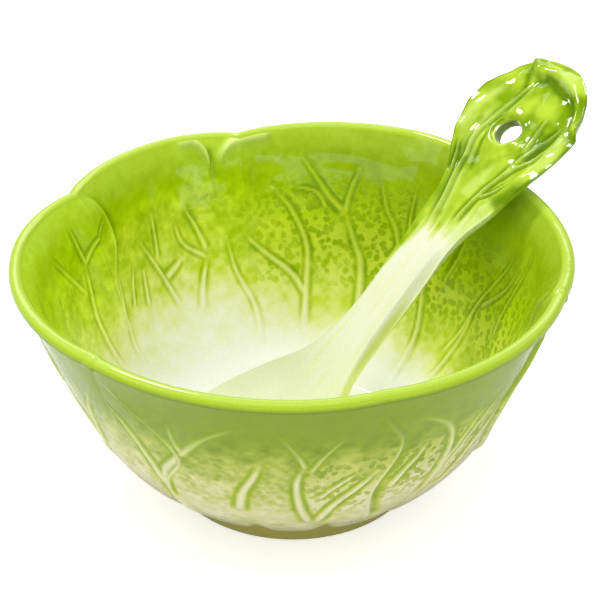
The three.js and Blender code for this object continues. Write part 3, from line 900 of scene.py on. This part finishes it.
# Ridges on the spoon's top, as (width, [(across, along), ...])
SPOON_VEINS = [
    (1.0, [(3.4, 104), (4.2, 111), (5.8, 118), (8.4, 127), (10, 134), (9.2, 142), (8, 148),
           (7.4, 156)]),
    (0.6, [(9, 122), (11.6, 127), (13.6, 132)]),
    (0.8, [(9.4, 137), (7.6, 146), (6, 153), (5, 158)]),
    (1.0, [(-4.2, 108), (-4.8, 114), (-6.2, 121), (-8.4, 127), (-10.2, 133), (-10.2, 139)]),
    (0.9, [(-8, 126), (-11, 131), (-14.5, 137), (-16, 142)]),
    (1.1, [(-9.8, 132), (-12, 139), (-14, 146), (-15, 149)]),
    (0.9, [(-10, 136), (-8.6, 144), (-8.4, 151)]),
    (0.6, [(-6, 119), (-9.6, 122), (-13.4, 128)]),
]
SPOON_SCALE = 0.7
SPOON_RIDGE = 0.6
SPOON_GROOVE = 0.4
STALK_RIDGE = [
    (1.8, [(-20, 20), (-18, 30), (-14, 42), (-9.4, 53), (-6.4, 62), (-5.2, 74), (-4.8, 92),
           (-4.6, 108)]),
]
STALK_RIDGE_HEIGHT = 0.9
# The stalk's face on the near side slopes down, over these shares of the half width, and between
# these places along the spoon
NEAR_FACE_DROP = 2.6
NEAR_FACE_SLOPE = (0.6, 1)
NEAR_FACE_LENGTH = ((20, 44), (88, 112))

# Soft folds in the leafy handle as (width, height, [(across, along), ...])
HANDLE_FOLDS = [
    (3.0, 1.0, [(-10, 114), (-12.5, 120), (-15.5, 128), (-17.5, 136)]),
    (2.6, 0.5, [(13.5, 127), (16, 134), (17, 142), (15, 150)]),
    (2.6, -0.6, [(6, 108), (9.5, 122), (12.5, 134), (12, 143), (9, 150)]),
    (2.4, -0.6, [(-5, 138), (-2, 148), (0, 156)]),
    (2.0, -0.7, [(-13, 134), (-14, 143), (-13, 150)]),
    (2.0, 0.8, [(5, 163), (8, 159), (11, 156)]),
]
# Fine wrinkles, and where along the spoon they begin
WRINKLES = ((1.0, 9, 20), (0.4, 4.2, 21))
LEAFY_FROM = (HANDLE_START + 2, HANDLE_START + 20)

# Where the handle's glaze is painted darker, as painted shade along its margins, in a slit and under
# its folded tip, and where it is painted paler, as painted sheen, as (width, [(across, along), ...])
HANDLE_PAINTED_SHADE = [
    (2.6, [(-13.4, 118), (-15.4, 122), (-17, 126), (-18.4, 130)]),
    (1.8, [(8.4, 100), (9.4, 108), (11, 116), (13, 124)]),
    (1.5, [(3, 159.6), (0, 159.8), (-5, 158), (-10, 157.4), (-14, 158), (-16.6, 159.6)]),
    (1.0, [(6.4, 154), (8.4, 159), (10, 163)]),
    (0.8, [(2, 124), (5.6, 132), (6, 141), (4.6, 148)]),
    (0.9, [(-11.4, 134), (-13, 141), (-12, 147)]),
]
# Painted sheen: pale patches where the glaze catches the light
HANDLE_PAINTED_SHEEN = [
    (2.4, [(-16.5, 134), (-19, 139), (-18, 146), (-15, 154)]),
    (3.4, [(-7, 102), (-9, 108), (-11, 113), (-13, 118), (-14, 122)]),
    (1.6, [(-0.4, 117), (-1, 122), (-2.6, 126)]),
    (1.5, [(2, 109), (3.4, 116), (5, 122), (5.2, 126)]),
    (2.2, [(16, 133), (16.6, 141), (14, 149), (11, 155)]),
    (2.4, [(7, 127), (10, 133), (11, 140), (11, 147)]),
    (2.2, [(-3, 163), (-8, 162), (-13, 158)]),
    (1.8, [(-1.5, 117), (-3, 125), (-4, 131)]),
]

# The folded-over tip of the handle: where it starts along the spoon, by place across it
CURL_START = (
    (-19, 148), (-15, 155), (-10, 158.6), (-4, 160.5), (0, 161), (3, 159.6), (6, 159), (9, 161.5),
    (18, 170),
)
CURL_HEIGHT = 2.1
CURL_EDGE = (-0.5, 1.6)
# Past its edge it sinks again, and at the very end it drops
CURL_SINK, CURL_SINK_SHARE = (2.5, 6), 0.5
CURL_BACK_DROP = 1.6
CURL_BACK_START = 2.6
# The glaze pools before it in a groove that is also painted dark as the fold's shadow, up to this far
# across the handle
CURL_POOL_AND_SHADOW_PLACE, CURL_POOL_AND_SHADOW_WIDTHS = -0.7, (2.0, 0.7)
CURL_POOL_AND_SHADOW_END = (4, 6)

# The hole takes up this many faces each way from its middle, and the grid moves aside for it up
# to HOLE_BLEND times as far. Its edge is rounded, and stands in a low rim.
HOLE_BLOCK = 6
HOLE_BLEND = 2.6
HOLE_EDGE = 1.3
HOLE_RIM, HOLE_RIM_PLACE, HOLE_RIM_WIDTH = 0.3, 1.6, 1.0
BORE_STEPS = 8
# The hole's wall is painted darker by this share, as painted shade
BORE_SHADE = 0.4

# Where the stalk turns green, by place across it, over what length, and how far streaks move it
GREEN_START = ((-12, 118), (-8, 112), (-3.5, 108), (0, 105), (3, 107), (5.6, 104), (7.6, 90))
GREEN_FADE = 11.0
GREEN_STREAK = 3.5
SCOOP_GLAZE = (230, 233, 204)
STALK_GLAZE = (230, 231, 208)
STALK_STREAK = (222, 229, 150)
# Painted shade on the stalk's side faces
NEAR_FACE_SHADE = (206, 216, 116)
HANDLE_GLAZE = (128, 164, 2)
HANDLE_LIGHT = (182, 211, 58)
# The colour of the handle's ridges, also used for its painted sheen
HANDLE_CREST_AND_SHEEN = (196, 220, 104)
# The colour of the handle's glaze pools, also used for its painted shade
HANDLE_POOL_AND_SHADE = (84, 116, 0)
SCOOP_END = (50, 74)
SPOON_STREAKS = ((1, (16, 1.3, 1), 30), (0.6, (7, 0.8, 1), 31))
STREAK_SHARE, STREAK_RANGE, STREAK_FROM = 0.45, (0.1, 1.1), (20, 60)
# This far apart, the clouds over the spoon's top and under it differ
CLOUD_GAP = 30.0
# Painted shade on the spoon's side faces: share of the half width, where they start, and how much the
# painted shade shows
NEAR_FACE, NEAR_FACE_START, NEAR_FACE_SHARE = (0.7, 0.84), (26, 46), 0.9
NEAR_FACE_END, NEAR_FACE_END_SHARE = (76, 86), 0.1
FAR_FACE, FAR_FACE_START, FAR_FACE_SHARE = (0.9, 1), (44, 62), 0.4
# What darkens the handle's glaze (its pools, and painted shade in its valleys, along its rim and in
# patches) and what lightens it (its ridges, and painted sheen), and from where along the spoon
VALLEY_SHADE, POOL_SHADE, RIM_SHADE, DARK_SHADE = 0.4, 0.8, 0.6, 0.8
RIDGE_LIGHT, PALE_LIGHT, LIGHT_LOSS = 0.5, 0.8, 0.7
HANDLE_VALLEY = (0.1, 0.9)
HANDLE_RIM, HANDLE_RIM_FROM = (0.95, 1), (118, 130)
SHADE_FROM, LIGHT_FROM = (96, 118), (96, 112)
POOL_AND_SHADE_SHARE = 0.8
BLOTCHES = ((0.7, 6, 40), (0.4, 2, 41))
BLOTCH_MEAN = 0.45


def half_width(at, across_sign):
    """Half width of the spoon on either side, with the handle's leafy outline."""
    leaf = np.where(across_sign > 0, profile(FAR_EDGE, at), profile(NEAR_EDGE, at))
    width = lerp(profile(HALF_WIDTH, at), leaf, smoothstep(at, *LEAF_OUTLINE_FROM))
    return width * end_roundness(at)


def spoon_stations():
    """Places along the spoon for its cross-sections, closer together at both ends."""
    turn = (np.arange(SPOON_END_STEPS) + SPOON_FIRST_STEP) / SPOON_END_STEPS * math.pi / 2
    ends = END_ROUNDING * (1 - np.cos(turn))
    span = SPOON_LENGTH - 2 * END_ROUNDING
    steps = round(span / SPOON_STEP)
    even = END_ROUNDING + np.arange(steps + 1) / steps * span
    return np.concatenate([ends, even, SPOON_LENGTH - ends[::-1]])


def spoon_fields(at, across):
    """Veins, folds and the folded tip at places on the spoon's top, and where painted shade and painted
    sheen go there.
    """
    grid = (across.ravel(), at.ravel(), np.ones(at.size))

    def veined(veins, scale=1.0):
        found = new_fields(at.size)
        add_veins(found, grid, veins, scale)
        return {key: values.reshape(at.shape) for key, values in found.items()}

    fields = veined(SPOON_VEINS, SPOON_SCALE)
    for name, veins in (("stalk", STALK_RIDGE), ("painted_shade", HANDLE_PAINTED_SHADE), ("painted_sheen", HANDLE_PAINTED_SHEEN)):
        fields[name] = veined(veins)["ridge"]
    for width, height, route in HANDLE_FOLDS:
        fields["proud"] += height * veined([(width, route)])["ridge"]
    past = at - np.interp(across, *zip(*CURL_START))
    fields["curl"] = smoothstep(past, *CURL_EDGE) * (1 - CURL_SINK_SHARE * smoothstep(past, *CURL_SINK))
    # A groove before the folded tip, painted dark as its shadow
    pool = lopsided_bell(past - CURL_POOL_AND_SHADOW_PLACE, *CURL_POOL_AND_SHADOW_WIDTHS)
    fields["pool"] = np.maximum(fields["pool"], pool * (1 - smoothstep(across, *CURL_POOL_AND_SHADOW_END)))
    place = np.stack([at, across, np.zeros(at.shape)], -1)
    fields["proud"] += smoothstep(at, *LEAFY_FROM) * clouds(place, WRINKLES)
    return fields


def open_hole(at, across, rows, columns):
    """Moves the grid aside so that a block of its faces becomes a round hole."""
    middle_row, middle_column = (rows[0] + rows[1]) // 2, (columns[0] + columns[1]) // 2
    centre, middle = at[middle_row, middle_column], across[middle_row, middle_column]
    u, v = at - centre, across - middle
    row, column = np.indices(at.shape)
    column = np.minimum(column, at.shape[1] - column)
    ring = np.maximum(np.abs(row - middle_row), np.abs(column - middle_column)) / HOLE_BLOCK
    length = np.maximum(np.hypot(u, v), TINY)
    keep = smoothstep(ring, 1, HOLE_BLEND)
    radius = HOLE_DIAMETER / 2
    moved_u = lerp(u / length * radius * ring, u, keep)
    moved_v = lerp(v / length * radius * ring, v, keep)
    return centre + moved_u, middle + moved_v, np.hypot(moved_u, moved_v) - radius


def spoon_colours(at, across, share, on_top, fields):
    """The spoon's linear colours where its glaze is thin and where it is thick, with painted shade on
    its side faces and over the handle, and painted sheen on the handle.
    """
    place = np.stack([at, across, CLOUD_GAP * on_top * np.ones(at.shape)], -1)
    streak = clouds(place, SPOON_STREAKS)
    start = np.interp(across, *zip(*GREEN_START)) + GREEN_STREAK * streak
    green = smoothstep(at - start, -GREEN_FADE / 2, GREEN_FADE / 2)
    body = mix(srgb(*SCOOP_GLAZE), srgb(*STALK_GLAZE), smoothstep(at, *SCOOP_END))
    streaked = STREAK_SHARE * smoothstep(streak, *STREAK_RANGE) * smoothstep(at, *STREAK_FROM)
    body = mix(body, srgb(*STALK_STREAK), streaked)
    # Painted shade on the side faces
    near_face = NEAR_FACE_SHARE * smoothstep(-share, *NEAR_FACE) * smoothstep(at, *NEAR_FACE_START)
    near_face = near_face * lerp(1, NEAR_FACE_END_SHARE, smoothstep(at, *NEAR_FACE_END))
    far_face = FAR_FACE_SHARE * smoothstep(share, *FAR_FACE) * smoothstep(at, *FAR_FACE_START)
    body = mix(body, srgb(*NEAR_FACE_SHADE), near_face + far_face)
    # Painted shade in the handle's valleys, along its rim and in patches, over its glaze pools
    ridge = fields["ridge"] * on_top
    pool = fields["pool"] * (1 - fields["ridge"]) * on_top
    valley = smoothstep(-fields["proud"], *HANDLE_VALLEY) * on_top
    rim = smoothstep(np.abs(share), *HANDLE_RIM) * smoothstep(at, *HANDLE_RIM_FROM)
    # Painted shade in patches on the handle
    painted_shade = fields["painted_shade"] * on_top
    shade = VALLEY_SHADE * valley + POOL_SHADE * pool + RIM_SHADE * rim + DARK_SHADE * painted_shade
    shade = np.clip(shade, 0, 1) * smoothstep(at, *SHADE_FROM)
    # Painted sheen in patches, with the paler ridges
    light = np.clip(RIDGE_LIGHT * ridge + PALE_LIGHT * fields["painted_sheen"], 0, 1)
    light = light * (1 - LIGHT_LOSS * shade) * smoothstep(at, *LIGHT_FROM)
    found = []
    for handle in (HANDLE_LIGHT, HANDLE_GLAZE):
        colours = blend(body, srgb(*handle), green)
        colours = blend(colours, srgb(*HANDLE_POOL_AND_SHADE), POOL_AND_SHADE_SHARE * shade)
        found.append(mix(colours, srgb(*HANDLE_CREST_AND_SHEEN), light))
    return found


def spoon_heights(at, share, from_hole, on_top, fields):
    """Height over the line level with the spoon's edges, on its top and under it."""
    roundness = end_roundness(at)
    dish = -profile(DISH, at) * (1 - share ** 2) * roundness
    drop = NEAR_FACE_DROP * smoothstep(-share, *NEAR_FACE_SLOPE) * band(at, *NEAR_FACE_LENGTH)
    drop = drop + CURL_BACK_DROP * smoothstep(at, SPOON_LENGTH - CURL_BACK_START, SPOON_LENGTH)
    relief = (SPOON_RIDGE * fields["ridge"] - SPOON_GROOVE * fields["pool"] + fields["proud"]
              + STALK_RIDGE_HEIGHT * fields["stalk"] + CURL_HEIGHT * fields["curl"]) * roundness
    fullness = np.sqrt(np.maximum(1 - np.abs(share) ** EDGE_ROUNDNESS, 0))
    thickness = profile(THICKNESS, at) * fullness * roundness
    into_edge = 1 - np.clip(from_hole / HOLE_EDGE, 0, 1)
    rounding = HOLE_EDGE * (1 - np.sqrt(1 - into_edge ** 2))
    rim = HOLE_RIM * bell(from_hole - HOLE_RIM_PLACE, HOLE_RIM_WIDTH)
    top = dish + relief - drop - rounding + rim
    under = dish - np.maximum(thickness, drop) + np.abs(share) ** EDGE_FOLLOW * relief + rounding
    return np.where(on_top, top, under)


def spoon_faces(index, rows, columns):
    """Faces of the spoon with its hole, and the points round both ends of the hole. Their
    numbers follow those of the grid, down the hole and then at the spoon's two ends."""
    around_steps = index.shape[1]
    faces = grid_faces(*index.shape)
    row, column = np.divmod(faces[:, 0], around_steps)
    column = np.minimum(column, around_steps - 1 - column)
    in_hole = (row >= rows[0]) & (row < rows[1]) & (column >= columns[0]) & (column < columns[1])
    faces = faces[~in_hole].tolist()

    loop = [(i, columns[0]) for i in range(rows[0], rows[1])]
    loop += [(rows[1], j) for j in range(columns[0], columns[1])]
    loop += [(i, columns[1]) for i in range(rows[1], rows[0], -1)]
    loop += [(rows[0], j) for j in range(columns[1], columns[0], -1)]
    upper = np.array([index[i, j] for i, j in loop])
    lower = np.array([index[i, around_steps - j] for i, j in loop])
    bore = index.size + np.arange((BORE_STEPS - 1) * len(loop)).reshape(-1, len(loop))
    rings = np.vstack([upper, bore, lower])
    beyond = np.roll(rings, -1, 1)
    walls = np.stack([rings[:-1], beyond[:-1], beyond[1:], rings[1:]], -1)
    faces += walls.reshape(-1, 4).tolist()

    start = index.size + bore.size
    first, last = index[0].tolist(), index[-1].tolist()
    for j in range(around_steps):
        k = (j + 1) % around_steps
        faces.append([start, first[k], first[j]])
        faces.append([start + 1, last[j], last[k]])
    return faces, upper, lower


def build_spoon(axis):
    """The spoon as one closed surface, leaning in the bowl that stands on this axis."""
    stations = spoon_stations()
    steps = SPOON_SECTION_STEPS
    angle = np.arange(2 * steps) / (2 * steps) * math.tau
    share = np.cos(angle)
    on_top = (np.sin(angle) > -TINY)[None, :]
    at = np.broadcast_to(stations[:, None], (len(stations), 2 * steps))
    across = share[None, :] * half_width(at, np.sign(share)[None, :])

    hole_row = int(np.abs(stations - (SPOON_LENGTH - HOLE_FROM_HANDLE_END)).argmin())
    hole_column = int(np.abs(across[hole_row, :steps] - HOLE_OFFSET).argmin())
    rows = (hole_row - HOLE_BLOCK, hole_row + HOLE_BLOCK)
    columns = (hole_column - HOLE_BLOCK, hole_column + HOLE_BLOCK)
    at, across, from_hole = open_hole(at, across, rows, columns)

    share = np.clip(across / np.maximum(half_width(at, np.sign(across)), TINY), -1, 1)
    fields = spoon_fields(at, across)
    points = spoon_points(at, across, spoon_heights(at, share, from_hole, on_top, fields))
    thin, thick = spoon_colours(at, across, share, on_top, fields)
    index = np.arange(at.size).reshape(at.shape)
    faces, upper, lower = spoon_faces(index, rows, columns)

    def extended(values, inside=1):
        """Values on the grid, followed by those down the hole, times inside, which there paints shade
        on the hole's wall, and at the two end points.
        """
        flat = values.reshape(at.size, -1)
        parts = [k / BORE_STEPS for k in range(1, BORE_STEPS)]
        bore = [lerp(flat[upper], flat[lower], part) * inside for part in parts]
        return np.vstack([flat, *bore, flat[index[0]].mean(0)[None], flat[index[-1]].mean(0)[None]])

    lean, turn = math.radians(SPOON_LEAN), math.radians(SPOON_AZIMUTH)
    place = Matrix.Translation((axis[0], axis[1], SPOON_LIFT)) @ Matrix.Rotation(turn, 4, "Z")
    place = place @ Matrix.Translation((-SCOOP_REACH, 0, 0)) @ Matrix.Rotation(-lean, 4, "Y")
    matrix = np.array(place)
    placed = extended(points) @ matrix[:3, :3].T + matrix[:3, 3]
    depth = np.clip(BLOTCH_MEAN + clouds(points, BLOTCHES), 0, 1)
    # The hole's wall takes painted shade
    paint = {
        "thin": extended(thin, BORE_SHADE),
        "thick": extended(thick, BORE_SHADE),
        "cells": np.zeros(len(placed)),
        "depth": extended(depth).ravel(),
    }
    return make_mesh("leaf_spoon", placed, faces, paint)


# ---- Materials ----

# Rounded cells: their size, how far they are bent, where they end, and how deep they dent
CELL_SIZE = 2.2
CELL_BEND = 1.7
CELL_BEND_SIZE = 2.2
CELL_EDGE = (0.36, 0.6)
CELL_DENT = 0.12
GLAZE_ROUGHNESS = 0.07
GLAZE_IOR = 1.42
# The glaze's fine grain, as it changes the colour, and its soft waves, as they change reflections
GRAIN_SIZE = 0.35
GRAIN_RANGE, GRAIN_SHADES = (0.3, 0.7), (0.94, 1.05)
WAVINESS = 0.2
WAVINESS_SIZE = 7.0
# What the camera sees the table glow with, over its own grey
TABLE_GREY = 0.86
TABLE_GLOW = 0.55


def node(tree, kind, inputs=None, **settings):
    """A new shader node with these settings. Each input is a value, or a socket to link to."""
    made = tree.nodes.new(kind)
    for name, value in settings.items():
        setattr(made, name, value)
    for name, value in (inputs or {}).items():
        if isinstance(value, bpy.types.NodeSocket):
            tree.links.new(value, made.inputs[name])
        else:
            made.inputs[name].default_value = value
    return made


def new_material(name):
    material = bpy.data.materials.new(name)
    material.use_nodes = True
    material.node_tree.nodes.clear()
    return material, material.node_tree


def glaze_material(name):
    """Glossy fired glaze. Its colours are painted on the mesh, and where the mesh says so the
    glaze is thick in rounded cells and thin in the net between them."""
    material, tree = new_material(name)
    place = node(tree, "ShaderNodeTexCoord").outputs["Object"]
    thin, thick, cell_share, depth = [
        node(tree, "ShaderNodeAttribute", attribute_name=painted)
        for painted in ("thin", "thick", "cells", "depth")
    ]

    def noise(size, detail):
        scale = 1 / (size * MM)
        return node(tree, "ShaderNodeTexNoise", {"Vector": place, "Scale": scale, "Detail": detail})

    bend = node(tree, "ShaderNodeVectorMath",
                {"Vector": noise(CELL_BEND_SIZE, 1).outputs["Color"], "Scale": CELL_BEND * MM},
                operation="SCALE")
    moved = node(tree, "ShaderNodeVectorMath", {0: place, 1: bend.outputs["Vector"]}, operation="ADD")
    cells = node(tree, "ShaderNodeTexVoronoi",
                 {"Vector": moved.outputs["Vector"], "Scale": 1 / (CELL_SIZE * MM)})
    in_cell = node(tree, "ShaderNodeMapRange",
                   {"Value": cells.outputs["Distance"], "From Min": CELL_EDGE[0],
                    "From Max": CELL_EDGE[1], "To Min": 1.0, "To Max": 0.0},
                   interpolation_type="SMOOTHSTEP").outputs["Result"]
    thickness = node(tree, "ShaderNodeMix",
                     {"Factor": cell_share.outputs["Fac"], "A": depth.outputs["Fac"], "B": in_cell},
                     data_type="FLOAT")
    painted = node(tree, "ShaderNodeMix",
                   {"Factor": thickness.outputs["Result"], "A": thin.outputs["Color"],
                    "B": thick.outputs["Color"]},
                   data_type="RGBA")
    speckle = node(tree, "ShaderNodeMapRange",
                   {"Value": noise(GRAIN_SIZE, 2).outputs["Fac"],
                    "From Min": GRAIN_RANGE[0], "From Max": GRAIN_RANGE[1],
                    "To Min": GRAIN_SHADES[0], "To Max": GRAIN_SHADES[1]})
    colour = node(tree, "ShaderNodeVectorMath",
                  {"Vector": painted.outputs["Result"], "Scale": speckle.outputs["Result"]},
                  operation="SCALE")

    dent = node(tree, "ShaderNodeMath", {0: in_cell, 1: cell_share.outputs["Fac"]},
                operation="MULTIPLY")
    dented = node(tree, "ShaderNodeBump", {"Distance": CELL_DENT * MM, "Height": dent.outputs["Value"]},
                  invert=True)
    wavy = node(tree, "ShaderNodeBump",
                {"Distance": WAVINESS * MM, "Height": noise(WAVINESS_SIZE, 2).outputs["Fac"],
                 "Normal": dented.outputs["Normal"]})
    surface = node(tree, "ShaderNodeBsdfPrincipled",
                   {"Base Color": colour.outputs["Vector"], "Roughness": GLAZE_ROUGHNESS,
                    "IOR": GLAZE_IOR, "Normal": wavy.outputs["Normal"]})
    node(tree, "ShaderNodeOutputMaterial", {"Surface": surface.outputs["BSDF"]})
    return material


def floor_material():
    """A white table that still takes the shadow of what stands on it."""
    material, tree = new_material("white_table")
    seen = node(tree, "ShaderNodeLightPath")
    plain = node(tree, "ShaderNodeBsdfDiffuse", {"Color": (TABLE_GREY, TABLE_GREY, TABLE_GREY, 1)})
    strength = node(tree, "ShaderNodeMath", {0: seen.outputs["Is Camera Ray"], 1: TABLE_GLOW},
                    operation="MULTIPLY")
    glow = node(tree, "ShaderNodeEmission", {"Strength": strength.outputs["Value"]})
    both = node(tree, "ShaderNodeAddShader",
                {0: plain.outputs["BSDF"], 1: glow.outputs["Emission"]})
    node(tree, "ShaderNodeOutputMaterial", {"Surface": both.outputs["Shader"]})
    return material


# ---- Stage ----

FLOOR_SIZE = 8.0
# The sky lights the scene with this strength, is dim where the glaze reflects it, and is plain
# white to the camera
SKY_STRENGTH = 0.68
REFLECTED_SKY = 0.06

# Lamps, and cards that are only seen reflected, as (name, azimuth, elevation, distance, width,
# height, watts), in metres
LAMPS = [
    ("key", 128, 60, 0.9, 0.2, 0.2, 3.4),
    ("overhead", 262, 76, 1.2, 0.9, 0.5, 4.6),
    ("fill", 266, 18, 1.2, 1.2, 0.5, 3.2),
]
CARDS = [
    ("top_card", 262, 70, 1.2, 0.9, 0.5, 1.4),
    ("front_card", 259, 7, 1.1, 2.2, 0.22, 2.2),
    ("side_card", 309, 5, 1.1, 0.45, 0.34, 0.8),
    ("back_card", 90, 38, 1.2, 1.8, 0.34, 4.4),
    ("left_card", 205, 30, 1.0, 0.5, 0.4, 0.8),
]

CAMERA_AZIMUTH = 270.0
CAMERA_ELEVATION = 31.44
CAMERA_DISTANCE = 0.6
CAMERA_LENS = 128.1
SENSOR_WIDTH = 36
CLIP_START = 0.01
LOOK_AT = (-0.0018, 0.0, 0.0576)


def around_point(centre, azimuth, elevation, distance):
    """The place seen from a centre in this direction, in degrees, and at this distance."""
    turn, lift = math.radians(azimuth), math.radians(elevation)
    way = Vector((math.cos(lift) * math.cos(turn), math.cos(lift) * math.sin(turn), math.sin(lift)))
    return Vector(centre) + distance * way


def aim(thing, centre):
    thing.rotation_euler = (Vector(centre) - thing.location).to_track_quat("-Z", "Y").to_euler()


def build_stage():
    """The table, the sky, the lamps and the camera."""
    corners = [(-1, -1, 0), (1, -1, 0), (1, 1, 0), (-1, 1, 0)]
    mesh = bpy.data.meshes.new("table")
    mesh.from_pydata((np.array(corners) * FLOOR_SIZE / 2).tolist(), [], [(0, 1, 2, 3)])
    table = add_object("table", mesh)
    mesh.materials.append(floor_material())

    world = bpy.data.worlds.new("sky")
    world.use_nodes = True
    tree = world.node_tree
    tree.nodes.clear()
    seen = node(tree, "ShaderNodeLightPath")
    reflected = node(tree, "ShaderNodeMapRange",
                     {"Value": seen.outputs["Is Glossy Ray"], "To Min": SKY_STRENGTH,
                      "To Max": REFLECTED_SKY})
    strength = node(tree, "ShaderNodeMapRange",
                    {"Value": seen.outputs["Is Camera Ray"], "To Min": reflected.outputs["Result"],
                     "To Max": 1.0})
    sky = node(tree, "ShaderNodeBackground",
               {"Color": (1, 1, 1, 1), "Strength": strength.outputs["Result"]})
    node(tree, "ShaderNodeOutputWorld", {"Surface": sky.outputs["Background"]})
    bpy.context.scene.world = world

    for name, azimuth, elevation, distance, width, height, watts in LAMPS + CARDS:
        light = bpy.data.lights.new(name, "AREA")
        light.shape = "RECTANGLE"
        light.size, light.size_y, light.energy = width, height, watts
        lamp = add_object(name, light)
        lamp.location = around_point(LOOK_AT, azimuth, elevation, distance)
        aim(lamp, LOOK_AT)
        lamp.visible_diffuse = not name.endswith("card")
        lamp.visible_glossy = name not in ("fill", "overhead")

    lens = bpy.data.cameras.new("camera")
    lens.lens = CAMERA_LENS
    lens.sensor_width = SENSOR_WIDTH
    lens.clip_start = CLIP_START
    camera = add_object("camera", lens)
    camera.location = around_point(LOOK_AT, CAMERA_AZIMUTH, CAMERA_ELEVATION, CAMERA_DISTANCE)
    aim(camera, LOOK_AT)
    bpy.context.scene.camera = camera


# ---- The scene ----


def foot_centre(bowl_node):
    """The bowl's axis in the frame, in millimetres: the middle of its foot ring."""
    points = np.array([tuple(vertex.co) for vertex in bowl_node.data.vertices]) / MM
    foot = points[points[:, 2] < 0.5 * FOOT_HEIGHT]
    return (foot.min(0) + foot.max(0))[:2] / 2


def main():
    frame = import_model()
    axis = foot_centre(frame["nodes"]["bowl"])

    bowl = build_bowl(axis)
    bowl.data.materials.append(glaze_material("leaf_glaze"))
    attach(bowl, "bowl")
    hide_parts("bowl")

    spoon = build_spoon(axis)
    spoon.data.materials.append(glaze_material("stalk_glaze"))
    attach(spoon, "spoon")
    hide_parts("spoon")

    build_stage()
    bpy.context.scene.view_settings.view_transform = "Standard"


main()
